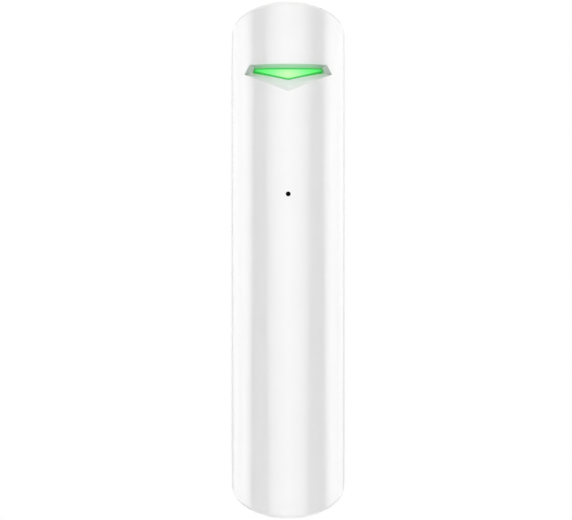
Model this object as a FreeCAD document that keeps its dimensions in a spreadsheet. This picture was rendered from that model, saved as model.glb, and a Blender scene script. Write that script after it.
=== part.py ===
import FreeCAD, Part
import math
import os
import re

import Sketcher
from FreeCAD import Placement, Rotation, Vector

# Glass break sensor: a slim battery detector that hangs on a bracket screwed to a wall.
# X is to the right, the front faces -Y, the wall is the plane Y = 0 and Z is up.
# The origin is the middle of the bracket's back face. Lengths are in millimetres, angles in degrees.
#
# The barrel is drawn round the cell that it holds, so the outside follows from the cell, the
# clearances, the walls and the board. Half-width, depth and length are worked out in Layout.

SIZES = [
    ("battery_diameter", "17.0", "photo cell that the barrel is drawn round"),
    ("battery_length", "34.5", "over its button"),
    ("battery_shoulder", "0.85", "rolled edges of the cell"),
    ("battery_button", "6.5", "button of the cell"),
    ("battery_button_rise", "1.0", "button above the can"),
    ("battery_gap", "0.22", "between the cell and the housing wall"),
    ("battery_back_gap", "0.28", "between the cell and the cover plate"),
    ("housing_wall", "1.1", "wall of the front housing"),
    ("side_draft", "1.0", "side walls flare to the back by this angle"),
    ("end_slope", "30.0", "end facets lean back from the front line"),
    ("edge_round", "0.45", "round on the edge of the end facets"),
    ("bracket_thickness", "2.0", "plate on the wall"),
    ("bracket_gap", "0.2", "between the bracket and the detector"),
    ("bracket_inset", "0.35", "bracket outline inside the housing outline"),
    ("bracket_chamfer", "0.3", "edges of the bracket on the wall"),
    ("cover_thickness", "1.2", "plate that closes the back"),
    ("fit_gap", "0.15", "between the cover and the housing"),
    ("bulkhead", "1.0", "walls at the ends of the cell"),
    ("bulkhead_height", "13.0", "walls at the ends of the cell, above the cover plate"),
    ("spring_contact_room", "1.95", "below the cell"),
    ("flat_contact_room", "0.5", "above the cell"),
    ("board_gap", "0.3", "between the upper bulkhead and the board"),
    ("board_length", "30.3", "main board"),
    ("board_width", "16.6", "main board"),
    ("board_thickness", "1.0", "main board"),
    ("board_top_gap", "1.65", "between the board and the upper end wall"),
    ("board_height", "8.2", "back of the board above the cover plate"),
    ("indicator_rise", "25.895", "indicator reference line above the lower edge of the board"),
    ("recess_depth", "1.9", "window surface behind the barrel surface"),
    ("recess_tilt", "3.5", "recess opens slightly upwards"),
    ("mouth_top", "2.17", "mouth of the recess, above the reference line"),
    ("mouth_shoulder", "0.53", "side tips of the mouth, above the line"),
    ("mouth_bottom", "2.80", "lower tip of the mouth, below the line"),
    ("mouth_half_wide", "7.65", "half-width of the mouth at its side tips"),
    ("side_flank_in", "1.03", "side flanks close in by this much for each millimetre of depth"),
    ("side_flank_up", "1.23", "side flanks close in by this much for each millimetre of height"),
    ("window_top", "1.61", "window, above the reference line"),
    ("window_shoulder", "0.84", "side corners of the window, above the line"),
    ("window_bottom", "0.52", "lower tip of the window, below the line"),
    ("window_half_top", "5.73", "half-width of the window at its top"),
    ("window_half_wide", "6.06", "half-width of the window at its corners"),
    ("window_lip", "0.7", "wall round the window, behind the recess"),
    ("boss_reach", "7.9", "wall behind the recess, back from the front line"),
    ("rail_width", "1.3", "rails in the housing that hold the board down, from its side walls"),
    ("rail_depth", "1.6", "rails in the housing, along Y"),
    ("rail_gap", "0.15", "between the rails and the board"),
    ("rail_inset", "1.0", "rails from the ends of the board"),
    ("guide_gap", "0.04", "between the light guide and its opening"),
    ("guide_setback", "0.12", "face of the light guide behind the recess floor"),
    ("guide_flange", "0.8", "flange of the light guide"),
    ("guide_overlap", "0.7", "flange beyond the window on each side"),
    ("guide_reach", "7.4", "flange back from the front line"),
    ("guide_stalk_width", "3.6", "stalk that catches the light"),
    ("guide_stalk_height", "2.2", "stalk that catches the light"),
    ("microphone_rise", "5.44", "microphone above the lower edge of the board"),
    ("microphone_hole", "0.85", "sound hole in the housing"),
    ("microphone_diameter", "6.0", "capsule"),
    ("microphone_length", "2.7", "capsule"),
    ("microphone_port", "2.0", "opening of the capsule"),
    ("microphone_port_depth", "0.3", "opening of the capsule"),
    ("microphone_roll", "0.25", "rolled edges of the capsule"),
    ("microphone_pins", "2.4", "between the pins of the capsule"),
    ("gasket_wall", "0.7", "rubber boot round the capsule"),
    ("gasket_floor", "0.6", "rubber boot in front of the capsule"),
    ("gasket_bore", "2.6", "sound way through the boot"),
    ("gasket_setback", "0.4", "capsule that stands out behind the boot"),
    ("socket_gap", "0.05", "between the boot and its socket"),
    ("socket_wall", "0.8", "socket of the boot in the housing"),
    ("socket_depth", "2.4", "socket of the boot in the housing"),
    ("socket_floor", "1.9", "housing in front of the boot, with its wall"),
    ("mesh_diameter", "3.6", "acoustic mesh behind the hole"),
    ("mesh_thickness", "0.2", "acoustic mesh behind the hole"),
    ("pin_diameter", "0.45", "solder pins"),
    ("led_width", "2.0", "indicator lamp"),
    ("led_depth", "0.8", "indicator lamp"),
    ("led_height", "1.25", "indicator lamp"),
    ("led_base", "0.4", "base of the lamp"),
    ("lens_width", "1.4", "lens of the lamp"),
    ("led_gap", "0.1", "between the lamp and the light guide"),
    ("shield_width", "7.6", "radio shield"),
    ("shield_height", "10.0", "radio shield"),
    ("shield_depth", "1.6", "radio shield"),
    ("shield_wall", "0.2", "radio shield sheet"),
    ("shield_margin", "1.2", "radio shield from the side of the board"),
    ("shield_leg", "1.6", "corner legs of the radio shield"),
    ("shield_notch", "0.35", "open below the walls of the radio shield"),
    ("shield_rise", "12.0", "radio shield above the lower edge of the board"),
    ("antenna_diameter", "3.6", "coil over its wire"),
    ("antenna_wire", "0.5", "wire of the coil"),
    ("antenna_pitch", "1.25", "rise of one turn"),
    ("antenna_length", "8.75", "coil from end to end"),
    ("antenna_rise", "12.6", "coil above the lower edge of the board"),
    ("antenna_lift", "0.3", "coil in front of the board"),
    ("antenna_margin", "1.4", "coil from the side of the board"),
    ("antenna_leg", "0.62", "legs of the coil"),
    ("chip_size", "5.0", "processor"),
    ("chip_thickness", "0.9", "processor"),
    ("chip_gap", "0.3", "between the terminals and the processor"),
    ("component_length", "1.6", "small chip components"),
    ("component_width", "0.8", "small chip components"),
    ("component_height", "0.5", "small chip components"),
    ("contact_width", "8.0", "battery contacts across"),
    ("contact_height", "9.0", "battery contacts along Y"),
    ("contact_sheet", "0.3", "sheet of the battery contacts"),
    ("contact_gap", "0.05", "between the cell and its contacts"),
    ("contact_leaf", "4.4", "spring leaf of the negative contact, across"),
    ("contact_crest", "2.0", "flat crest of the spring leaf, along Y"),
    ("contact_dimple", "3.4", "dimple of the positive contact"),
    ("strap_width", "1.5", "straps from the contacts to the board"),
    ("strap_tab", "2.0", "straps over the edge of the board"),
    ("strap_play", "0.1", "round the straps in the cover"),
    ("hook_span", "44.0", "between upper and lower hooks"),
    ("hook_centre", "2.0", "middle of the hooks above the origin"),
    ("hook_half_spread", "6.6", "middle of a hook stem from the centre line"),
    ("hook_stem", "1.2", "stem across"),
    ("hook_length", "4.0", "hook along Z"),
    ("hook_lip", "1.1", "lip inwards from the stem"),
    ("hook_lip_thickness", "1.25", "lip"),
    ("hook_chamfer", "0.35", "hooks, at their lips"),
    ("hook_play", "0.15", "between the lip and the cover plate"),
    ("slot_play", "0.2", "between a hook and the sides of its keyhole"),
    ("slide_travel", "6.0", "detector slides up by this to come off"),
    ("slide_seat", "0.1", "hook top below the end of its keyhole at rest"),
    ("screw_spacing", "57.0", "between the bracket's screw holes"),
    ("screw_centre", "0.5", "middle of the screw holes above the origin"),
    ("screw_hole", "3.6", "screw hole in the bracket"),
    ("screw_head", "7.0", "countersink for the screw head"),
    ("tab_half_width", "4.4", "breakaway tab"),
    ("tab_low", "9.6", "lower edge of the breakaway tab"),
    ("tab_high", "20.2", "upper edge of the breakaway tab"),
    ("tab_slit", "0.8", "perforation round the tab"),
    ("tab_bridge", "1.0", "bridges that hold the tab"),
    ("tab_hole", "3.4", "screw hole in the tab"),
    ("tab_hole_rise", "3.4", "screw hole above the lower edge of the tab"),
    ("latch_half_width", "3.0", "latch tongue of the bracket"),
    ("latch_length", "10.0", "latch tongue of the bracket"),
    ("latch_top", "-5.0", "root of the latch tongue"),
    ("latch_slit", "0.8", "slit round the latch tongue"),
    ("latch_bump", "0.6", "bump on the latch tongue, above the plate"),
    ("latch_bump_length", "1.6", "bump along Z"),
    ("latch_bump_slope", "0.4", "slanted flanks of the bump, along Z"),
    ("latch_play", "0.3", "between the bump and its groove"),
    ("saddle", "1.2", "saddles under the cell"),
    ("saddle_gap", "0.05", "between the cell and its saddles"),
    ("saddle_rise", "7.0", "saddles above the cover plate"),
    ("saddle_inset", "2.2", "saddles from the ends of the cell"),
    ("post_half_spread", "6.2", "board posts from the centre line"),
    ("post_inset_low", "2.4", "lower board posts from the end of the board"),
    ("post_inset_high", "4.8", "upper board posts from the end of the board"),
    ("post_diameter", "2.4", "board posts"),
    ("peg_diameter", "1.2", "pegs through the board"),
    ("peg_gap", "0.05", "between a peg and its hole"),
    ("peg_length", "1.5", "pegs through the board"),
    ("finger_thickness", "0.9", "snap fingers of the cover"),
    ("finger_width", "4.0", "snap fingers of the cover"),
    ("finger_length", "4.2", "snap fingers above the cover plate"),
    ("finger_low", "-8.0", "lower snap fingers"),
    ("finger_high", "30.6", "upper snap fingers"),
    ("barb_depth", "0.4", "barbs into the housing wall"),
    ("barb_height", "0.9", "barbs along Y"),
    ("rim_height", "1.6", "rims along the sides of the cover plate"),
    ("rim_thickness", "0.8", "rims along the sides of the cover plate"),
    ("rim_slit", "0.6", "slits between the rims and the snap fingers"),
    ("switch_rise", "4.9", "power switch above the lower edge of the board"),
    ("switch_width", "8.6", "power switch"),
    ("switch_height", "3.6", "power switch"),
    ("switch_depth", "3.5", "power switch"),
    ("switch_floor", "1.15", "power switch under its slot"),
    ("slider_foot_gap", "0.6", "between the slider's stem and the floor of the slot"),
    ("slider_width", "2.0", "stem of the power slider"),
    ("slider_height", "1.4", "stem of the power slider"),
    ("slider_knob", "3.0", "knob of the power slider, along X"),
    ("slider_knob_height", "2.4", "knob of the power slider, along Z"),
    ("slider_travel", "2.0", "power slider, off to on"),
    ("slider_play", "0.15", "round the slider in its windows"),
    ("slider_sunk", "0.35", "knob below the back of the cover"),
    ("slider_shoulder", "0.4", "knob in front of the cover plate"),
    ("slider_groove", "0.35", "finger grooves in the knob, across"),
    ("slider_groove_depth", "0.25", "finger grooves in the knob"),
    ("slider_groove_pitch", "0.8", "between the finger grooves"),
    ("tamper_rise", "10.4", "tamper switch above the lower edge of the board"),
    ("tamper_size", "4.5", "tamper switch"),
    ("tamper_depth", "3.0", "tamper switch"),
    ("plunger_diameter", "2.4", "tamper plunger"),
    ("plunger_foot", "1.8", "foot of the plunger, in the switch"),
    ("plunger_reach", "0.6", "foot in the switch at rest"),
    ("plunger_spare", "0.2", "bore of the switch beyond the foot when it is pushed in"),
    ("plunger_collar", "3.8", "collar under the cover plate"),
    ("collar_thickness", "0.6", "collar under the cover plate"),
    ("collar_gap", "0.1", "between the collar and the guide"),
    ("plunger_guide", "0.8", "guide of the plunger under the cover plate"),
    ("plunger_guide_wall", "1.2", "guide of the plunger under the cover plate"),
    ("plunger_chamfer", "0.3", "edge of the plunger's tip"),
    ("plunger_play", "0.05", "round the plunger in its bores"),
    ("plunger_clear", "0.05", "tip of the plunger in front of the bracket"),
    ("plunger_travel", "0.8", "plunger, further in"),
    ("spring_diameter", "3.4", "tamper spring over its wire"),
    ("spring_wire", "0.3", "tamper spring"),
    ("spring_turns", "3.5", "tamper spring"),
    ("spring_seat", "0.05", "between the spring and its seats"),
    ("terminal_width", "7.8", "terminal block"),
    ("terminal_height", "7.0", "terminal block"),
    ("terminal_depth", "7.2", "terminal block"),
    ("terminal_rise", "17.9", "terminal block above the lower edge of the board"),
    ("terminal_pitch", "3.5", "between its two ways"),
    ("terminal_chamfer", "0.8", "upper edge at the back of the terminal block"),
    ("terminal_screw", "2.2", "screw heads"),
    ("terminal_screw_sunk", "0.6", "screw heads below the block's back"),
    ("terminal_head", "1.4", "screw heads along Y"),
    ("terminal_shank", "1.4", "screw shanks"),
    ("terminal_slot", "0.4", "slots in the screw heads"),
    ("terminal_slot_depth", "0.6", "slots in the screw heads"),
    ("terminal_well_depth", "4.0", "screw wells"),
    ("terminal_play", "0.1", "between the screw heads and their wells"),
    ("terminal_entry", "2.4", "wire entries"),
    ("terminal_floor", "1.0", "between the board and the wire entries"),
    ("terminal_end", "1.0", "behind the wire entries"),
    ("terminal_view", "2.0", "window above the terminal block, for the wires"),
    ("clamp_length", "3.2", "clamps in the wire entries, along Z"),
    ("clamp_wall", "0.25", "clamps in the wire entries"),
    ("clamp_play", "0.05", "round the clamps and round the screws in them"),
    ("clamp_bite", "0.35", "screws below the roof of their clamps"),
]

# Places and outside sizes that follow from the sizes above.
LAYOUT = [
    ("barrel_radius", "battery_diameter / 2 + battery_gap + housing_wall"),
    ("rear_face", "-(bracket_thickness + bracket_gap)"),
    ("cover_front", "rear_face - cover_thickness"),
    ("axis_y", "cover_front - battery_back_gap - battery_diameter / 2"),
    ("front_face", "axis_y - barrel_radius"),
    ("inner_front", "front_face + housing_wall"),
    ("half_width", "barrel_radius * (1 - sin(side_draft)) / cos(side_draft)"
                   " + (rear_face - front_face) * tan(side_draft)"),
    ("board_back", "cover_front - board_height"),
    ("board_front", "board_back - board_thickness"),
    ("low_end_reach", "(housing_wall + fit_gap) / cos(end_slope)"
                      " + (cover_front - front_face) * tan(end_slope)"),
    ("high_end_reach", "housing_wall / cos(end_slope) + (board_back - front_face) * tan(end_slope)"),
    ("apex", "(low_end_reach + bulkhead * 2 + spring_contact_room + battery_length"
             " + flat_contact_room + board_gap + board_length + board_top_gap"
             " + high_end_reach) / 2"),
    ("half_length", "apex - edge_round * (tan(end_slope) + 1 / cos(end_slope) - 1)"),
    ("cell_floor", "low_end_reach - apex"),
    ("battery_low", "cell_floor + bulkhead + spring_contact_room"),
    ("battery_high", "battery_low + battery_length"),
    ("cell_ceiling", "battery_high + flat_contact_room"),
    ("board_low", "cell_ceiling + bulkhead + board_gap"),
    ("board_high", "board_low + board_length"),
    ("indicator_z", "board_low + indicator_rise"),
    ("recess_radius", "barrel_radius - recess_depth"),
    ("boss_radius", "recess_radius - window_lip"),
    ("tip_depth", "barrel_radius - sqrt(barrel_radius ^ 2 - mouth_half_wide ^ 2)"),
    ("microphone_z", "board_low + microphone_rise"),
    ("socket_y", "front_face + socket_floor"),
    ("gasket_radius", "microphone_diameter / 2 + gasket_wall"),
    ("capsule_front", "socket_y + gasket_floor"),
    ("capsule_back", "capsule_front + microphone_length"),
    ("rail_back", "board_front - rail_gap"),
    ("led_front", "board_front - led_depth"),
    ("hook_high", "hook_centre + hook_span / 2"),
    ("hook_low", "hook_centre - hook_span / 2"),
    ("hook_lip_face", "cover_front - hook_play"),
    ("hook_tip", "hook_lip_face - hook_lip_thickness"),
    ("screw_high", "screw_centre + screw_spacing / 2"),
    ("screw_low", "screw_centre - screw_spacing / 2"),
    ("switch_z", "board_low + switch_rise"),
    ("switch_back", "board_back + switch_depth"),
    ("tamper_z", "board_low + tamper_rise"),
    ("tamper_back", "board_back + tamper_depth"),
    ("plunger_tip", "-bracket_thickness - plunger_clear"),
    ("collar_back", "cover_front - plunger_guide - collar_gap"),
    ("collar_front", "collar_back - collar_thickness"),
    ("terminal_low", "board_low + terminal_rise"),
    ("terminal_high", "terminal_low + terminal_height"),
    ("terminal_back", "board_back + terminal_depth"),
    ("entry_front", "board_back + terminal_floor"),
    ("entry_back", "entry_front + terminal_entry"),
    ("screw_z", "terminal_low + terminal_height / 2"),
    ("contact_floor", "cell_floor + bulkhead"),
    ("leaf_crest", "battery_low - contact_gap"),
    ("strap_outer", "contact_width / 2"),
    ("strap_inner", "strap_outer - strap_width"),
    ("bump_z", "latch_top - latch_length + latch_bump_length"),
]

CUT_MARGIN = 1.0
TOOL_OVERLAP = 0.05

doc = FreeCAD.newDocument("GlassBreakSensor")


def make_sheets():
    """The driving sizes as plain numbers, and the layout as formulas of them."""
    sizes = doc.addObject("Spreadsheet::Sheet", "Sizes")
    for row, (alias, number, note) in enumerate(SIZES, start=1):
        sizes.set(f"A{row}", alias)
        sizes.set(f"B{row}", number)
        sizes.setAlias(f"B{row}", alias)
        sizes.set(f"C{row}", note)
    layout = doc.addObject("Spreadsheet::Sheet", "Layout")
    driving = {alias: f"Sizes.{alias}" for alias, _, _ in SIZES}
    for row, (alias, formula) in enumerate(LAYOUT, start=1):
        layout.set(f"A{row}", alias)
        layout.set(f"B{row}", "=" + swap_names(formula, driving))
        layout.setAlias(f"B{row}", alias)
    doc.recompute()
    return sizes, layout


def swap_names(formula, names):
    """Replace each whole word of a formula that is in names."""
    return re.sub(r"[a-z_][a-z_0-9]*", lambda word: names.get(word.group(), word.group()), str(formula))


sizes_sheet, layout_sheet = make_sheets()
SHEET_NAMES = {alias: f"Sizes.{alias}" for alias, _, _ in SIZES}
SHEET_NAMES.update({alias: f"Layout.{alias}" for alias, _ in LAYOUT})


def bind(item, prop, formula):
    """Tie a property to a formula of sheet aliases."""
    item.setExpression(prop, swap_names(formula, SHEET_NAMES))


def value(formula):
    """The number that a formula of sheet aliases gives now."""
    result = sizes_sheet.evalExpression(swap_names(formula, SHEET_NAMES))
    return float(getattr(result, "Value", result))


# Part workbench blocks, rods and booleans. Limits are formulas of sheet aliases.

AXIS_TURNS = {
    "x": Rotation(Vector(0, 1, 0), 90),
    "y": Rotation(Vector(1, 0, 0), -90),
    "z": Rotation(),
}


def box(name, x, y, z):
    """A block between a low and a high limit on each axis."""
    item = doc.addObject("Part::Box", name)
    for side, axis, (low, high) in (("Length", "x", x), ("Width", "y", y), ("Height", "z", z)):
        bind(item, side, f"({high}) - ({low})")
        bind(item, f"Placement.Base.{axis}", low)
    return item


def on_axis(item, axis, centre, low):
    """Turn a round item onto an axis, with its lower end there and its centre line at centre."""
    item.Placement = Placement(Vector(), AXIS_TURNS[axis])
    across = [name for name in "xyz" if name != axis]
    bind(item, f"Placement.Base.{axis}", low)
    for name, place in zip(across, centre):
        bind(item, f"Placement.Base.{name}", place)
    return item


def rod(name, axis, centre, span, radius):
    """A cylinder along an axis between two limits."""
    item = doc.addObject("Part::Cylinder", name)
    low, high = span
    bind(item, "Radius", radius)
    bind(item, "Height", f"({high}) - ({low})")
    return on_axis(item, axis, centre, low)


def cone(name, axis, centre, span, radii):
    """A truncated cone along an axis between two limits."""
    item = doc.addObject("Part::Cone", name)
    low, high = span
    bind(item, "Radius1", radii[0])
    bind(item, "Radius2", radii[1])
    bind(item, "Height", f"({high}) - ({low})")
    return on_axis(item, axis, centre, low)


def fuse(name, *items):
    """One shape of several."""
    if len(items) == 1:
        return items[0]
    item = doc.addObject("Part::MultiFuse", name)
    item.Shapes = list(items)
    item.Refine = True
    return item


def common(name, *items):
    """What all the shapes share."""
    item = doc.addObject("Part::MultiCommon", name)
    item.Shapes = list(items)
    return item


def cut(name, base, *tools):
    """The base less every tool."""
    item = doc.addObject("Part::Cut", name)
    item.Base = base
    item.Tool = fuse(name + "Tools", *tools)
    item.Refine = True
    return item


def group(name, *items):
    """Separate solids kept together in one node."""
    item = doc.addObject("Part::Compound", name)
    item.Links = list(items)
    return item


# PartDesign bodies.

def plane_of(body, role):
    """An origin plane of a body."""
    return next(item for item in body.Origin.OriginFeatures if item.Role == role)


def new_sketch(body, role, offset, name):
    """A sketch on an origin plane of its body, moved along the plane's normal."""
    sketch = body.newObject("Sketcher::SketchObject", name)
    sketch.AttachmentSupport = [(plane_of(body, role), "")]
    sketch.MapMode = "FlatFace"
    bind(sketch, "AttachmentOffset.Base.z", offset)
    return sketch


def pin_point(sketch, element, end, across, along, tag):
    """Bind a sketch point to formulas, measured from the sketch's own origin."""
    for kind, formula in (("DistanceX", across), ("DistanceY", along)):
        number = sketch.addConstraint(Sketcher.Constraint(kind, -1, 1, element, end, value(formula)))
        label = tag + kind[-1]
        sketch.renameConstraint(number, label)
        bind(sketch, f"Constraints.{label}", formula)


def draw_polygon(sketch, corners):
    """A closed outline of straight lines through corners given by formulas."""
    places = [Vector(value(across), value(along), 0) for across, along in corners]
    count = len(corners)
    for index in range(count):
        line = Part.LineSegment(places[index], places[(index + 1) % count])
        sketch.addGeometry(line, False)
    for index in range(count):
        following = (index + 1) % count
        sketch.addConstraint(Sketcher.Constraint("Coincident", index, 2, following, 1))
    for index, (across, along) in enumerate(corners):
        pin_point(sketch, index, 1, across, along, f"corner{index}")


def prism(name, role, corners, offset, length):
    """A body padded from a polygon along its plane's normal."""
    body = doc.addObject("PartDesign::Body", name)
    sketch = new_sketch(body, role, offset, name + "Outline")
    draw_polygon(sketch, corners)
    pad = body.newObject("PartDesign::Pad", name + "Pad")
    pad.Profile = sketch
    bind(pad, "Length", length)
    return body


def turned(name, corners, axis, centre):
    """A body turned about an axis from a half-section of (along the axis, radius) corners."""
    body = doc.addObject("PartDesign::Body", name)
    role, line = {"z": ("XZ_Plane", "V_Axis"), "y": ("YZ_Plane", "H_Axis")}[axis]
    sketch = new_sketch(body, role, "0", name + "Section")
    if axis == "z":
        draw_polygon(sketch, [(radius, along) for along, radius in corners])
    else:
        draw_polygon(sketch, corners)
    turn = body.newObject("PartDesign::Revolution", name + "Turn")
    turn.Profile = sketch
    turn.ReferenceAxis = (sketch, [line])
    turn.Angle = 360
    for name_of_axis, place in zip("xyz", centre):
        bind(body, f"Placement.Base.{name_of_axis}", place)
    return body


def barrel_form(name, inset, rear):
    """The half-round barrel with leaning end facets, drawn inside the outer one by an inset."""
    body = doc.addObject("PartDesign::Body", name)
    section = new_sketch(body, "XY_Plane", "0", name + "Section")
    radius = f"(barrel_radius - ({inset}))"
    tangent_x = f"{radius} * cos(side_draft)"
    tangent_y = f"axis_y - {radius} * sin(side_draft)"
    rear_x = f"half_width - ({inset}) / cos(side_draft) + (({rear}) - rear_face) * tan(side_draft)"
    right_rear = Vector(value(rear_x), value(rear), 0)
    right_tangent = Vector(value(tangent_x), value(tangent_y), 0)
    left_tangent = Vector(-right_tangent.x, right_tangent.y, 0)
    left_rear = Vector(-right_rear.x, right_rear.y, 0)
    draft = math.radians(value("side_draft"))
    circle = Part.Circle(Vector(0, value("axis_y"), 0), Vector(0, 0, 1), value(radius))
    section.addGeometry(Part.LineSegment(left_rear, right_rear), False)
    section.addGeometry(Part.LineSegment(right_rear, right_tangent), False)
    section.addGeometry(Part.ArcOfCircle(circle, math.pi + draft, 2 * math.pi - draft), False)
    section.addGeometry(Part.LineSegment(left_tangent, left_rear), False)
    section.addConstraint(Sketcher.Constraint("Coincident", 0, 2, 1, 1))
    section.addConstraint(Sketcher.Constraint("Coincident", 3, 2, 0, 1))
    section.addConstraint(Sketcher.Constraint("Tangent", 1, 2, 2, 2))
    section.addConstraint(Sketcher.Constraint("Tangent", 3, 1, 2, 1))
    pin_point(section, 0, 1, f"-({rear_x})", rear, "left")
    pin_point(section, 0, 2, rear_x, rear, "right")
    pin_point(section, 2, 3, "0", "axis_y", "middle")
    pad = body.newObject("PartDesign::Pad", name + "Pad")
    pad.Profile = section
    pad.SideType = "Symmetric"
    bind(pad, "Length", "2 * apex + 4 * barrel_radius")
    ends = new_sketch(body, "YZ_Plane", "0", name + "Ends")
    before = f"(front_face - {CUT_MARGIN})"
    behind = f"(({rear}) + {CUT_MARGIN})"
    tip = f"(apex - ({inset}) / cos(end_slope))"
    beyond = "(apex + 2 * barrel_radius)"
    start = f"({tip} + {CUT_MARGIN} * tan(end_slope))"
    finish = f"({tip} - ({behind} - front_face) * tan(end_slope))"
    draw_polygon(ends, [(before, start), (behind, finish), (behind, beyond), (before, beyond)])
    trim = body.newObject("PartDesign::Pocket", name + "Trim")
    trim.Profile = ends
    trim.SideType = "Symmetric"
    bind(trim, "Length", "4 * barrel_radius")
    mirror = body.newObject("PartDesign::Mirrored", name + "Mirror")
    mirror.Originals = [trim]
    mirror.MirrorPlane = (plane_of(body, "XY_Plane"), [""])
    body.Tip = mirror
    return body


def soften_ends(body):
    """Round the edges between the end facets and the barrel, but not those at the back."""
    doc.recompute()
    chosen = []
    rear = max(vertex.Y for vertex in body.Shape.Vertexes)
    for number, edge in enumerate(body.Shape.Edges, start=1):
        flat = abs(edge.BoundBox.YMin - rear) < TOOL_OVERLAP
        upright = edge.BoundBox.ZMax - edge.BoundBox.ZMin > value("apex")
        if not flat and not upright:
            chosen.append(f"Edge{number}")
    base = body.Tip
    rounded = body.newObject("PartDesign::Fillet", body.Name + "Round")
    rounded.Base = (base, chosen)
    bind(rounded, "Radius", "edge_round")
    body.Tip = rounded
    return body


def bevel_rear(body, size):
    """Bevel the edges of the back face."""
    doc.recompute()
    rear = max(vertex.Y for vertex in body.Shape.Vertexes)
    chosen = [f"Edge{number}" for number, edge in enumerate(body.Shape.Edges, start=1)
              if abs(edge.BoundBox.YMin - rear) < TOOL_OVERLAP]
    base = body.Tip
    bevel = body.newObject("PartDesign::Chamfer", body.Name + "Bevel")
    bevel.Base = (base, chosen)
    bind(bevel, "Size", size)
    body.Tip = bevel
    return body


# The faceted recess of the indicator. It is drawn in a frame of its own, with the origin on the
# front line of the barrel at the indicator's reference height, and then tilted into place. Each
# flank is ruled between a straight-looking mouth edge on the barrel and an edge of the window.

RECESS_REACH = 1.0
RECESS_MARGIN = 2.0
RECESS_SPAN = (f"-mouth_bottom - {RECESS_MARGIN}", f"mouth_top + {RECESS_MARGIN}")


def flank(name, mouth, window):
    """Material behind one flank: ruled between two slanted sections of coaxial cylinders."""
    (mouth_height, mouth_slope) = mouth
    (window_height, window_slope) = window
    share = f"({RECESS_REACH} / recess_depth)"
    height_step = f"(({mouth_height}) - ({window_height})) * {share}"
    run_out = f"(({mouth_slope}) * barrel_radius)"
    run_in = f"(({window_slope}) * recess_radius)"
    run_step = f"({run_out} - {run_in}) * {share}"
    rings = (
        ("Outer", f"(barrel_radius + {RECESS_REACH})", f"({mouth_height}) + {height_step}",
         f"{run_out} + {run_step}"),
        ("Inner", f"(recess_radius - {RECESS_REACH})", f"({window_height}) - {height_step}",
         f"{run_in} - {run_step}"),
    )
    sections = []
    for side, radius, height, run in rings:
        ring = doc.addObject("Part::Ellipse", name + side)
        ring.Placement = Placement(Vector(), Rotation(Vector(0, 1, 0), -45))
        bind(ring, "MajorRadius", f"sqrt({radius} ^ 2 + ({run}) ^ 2)")
        bind(ring, "MinorRadius", radius)
        bind(ring, "Placement.Base.y", "barrel_radius")
        bind(ring, "Placement.Base.z", height)
        bind(ring, "Placement.Rotation.Angle", f"-atan(({run}) / {radius})")
        sections.append(ring)
    body = doc.addObject("Part::Loft", name)
    body.Sections = sections
    body.Solid = True
    body.Ruled = True
    return body


def corner_outline(top, shoulder, bottom, half_top, half_wide):
    """The five-cornered outline that the mouth and the window share."""
    return [
        (f"-({half_top})", top),
        (f"-({half_wide})", shoulder),
        ("0", f"-({bottom})"),
        (half_wide, shoulder),
        (half_top, top),
    ]


def line_through(first, second):
    """Height at the centre line and slope of the line through two points given by formulas."""
    (x1, z1), (x2, z2) = first, second
    slope = f"((({z2}) - ({z1})) / (({x2}) - ({x1})))"
    return (f"(({z1}) - {slope} * ({x1}))", slope)


def in_recess_frame(item):
    """Tilt an item of the recess frame into place."""
    item.Placement = Placement(Vector(), Rotation(Vector(1, 0, 0), -1))
    bind(item, "Placement.Base.y", "front_face")
    bind(item, "Placement.Base.z", "indicator_z")
    bind(item, "Placement.Rotation.Angle", "-recess_tilt")
    return item


def side_wedge(name):
    """Material behind the right side flank, which is flat and closes in as it goes back and up."""
    body = doc.addObject("PartDesign::Body", name)
    near = f"-{CUT_MARGIN}"
    far = "barrel_radius"
    beyond = "3 * barrel_radius"
    levels = (f"-mouth_bottom - {CUT_MARGIN}", f"mouth_top + {CUT_MARGIN}")
    sketches = []
    for number, level in enumerate(levels):
        edges = [f"mouth_half_wide - side_flank_in * (({depth}) - tip_depth)"
                 f" - side_flank_up * (({level}) - mouth_shoulder)" for depth in (near, far)]
        sketch = new_sketch(body, "XY_Plane", level, f"{name}Level{number}")
        draw_polygon(sketch, [(edges[0], near), (beyond, near), (beyond, far), (edges[1], far)])
        sketches.append(sketch)
    loft = body.newObject("PartDesign::AdditiveLoft", name + "Loft")
    loft.Profile = sketches[0]
    loft.Sections = sketches[1:]
    loft.Ruled = True
    return body


def recess_tool():
    """The solid that the indicator recess leaves empty."""
    half = f"(mouth_half_wide + {TOOL_OVERLAP})"
    top = f"mouth_top + {TOOL_OVERLAP}"
    outline = [
        (f"-{half}", top),
        (f"-{half}", "mouth_shoulder"),
        ("0", f"-mouth_bottom - {TOOL_OVERLAP}"),
        (half, "mouth_shoulder"),
        (half, top),
    ]
    block = prism("RecessBlock", "XZ_Plane", outline, CUT_MARGIN, f"{CUT_MARGIN} + barrel_radius")
    block.Tip.Reversed = True
    floor = rod("RecessFloor", "z", ("0", "barrel_radius"), RECESS_SPAN, "recess_radius")
    right = side_wedge("SideFlank")
    left = doc.addObject("Part::Mirroring", "SideFlankMirror")
    left.Source = right
    left.Normal = Vector(1, 0, 0)
    flanks = [right, left, flank("TopFlank", ("mouth_top", "0"), ("window_top", "0"))]
    for number, side in enumerate(("-", "")):
        mouth_edge = line_through(("0", "-mouth_bottom"), (f"{side}mouth_half_wide", "mouth_shoulder"))
        window_edge = line_through(("0", "-window_bottom"), (f"{side}window_half_wide", "window_shoulder"))
        flanks.append(flank(f"LipFlank{number}", mouth_edge, window_edge))
    return in_recess_frame(cut("RecessTool", block, floor, *flanks))


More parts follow.
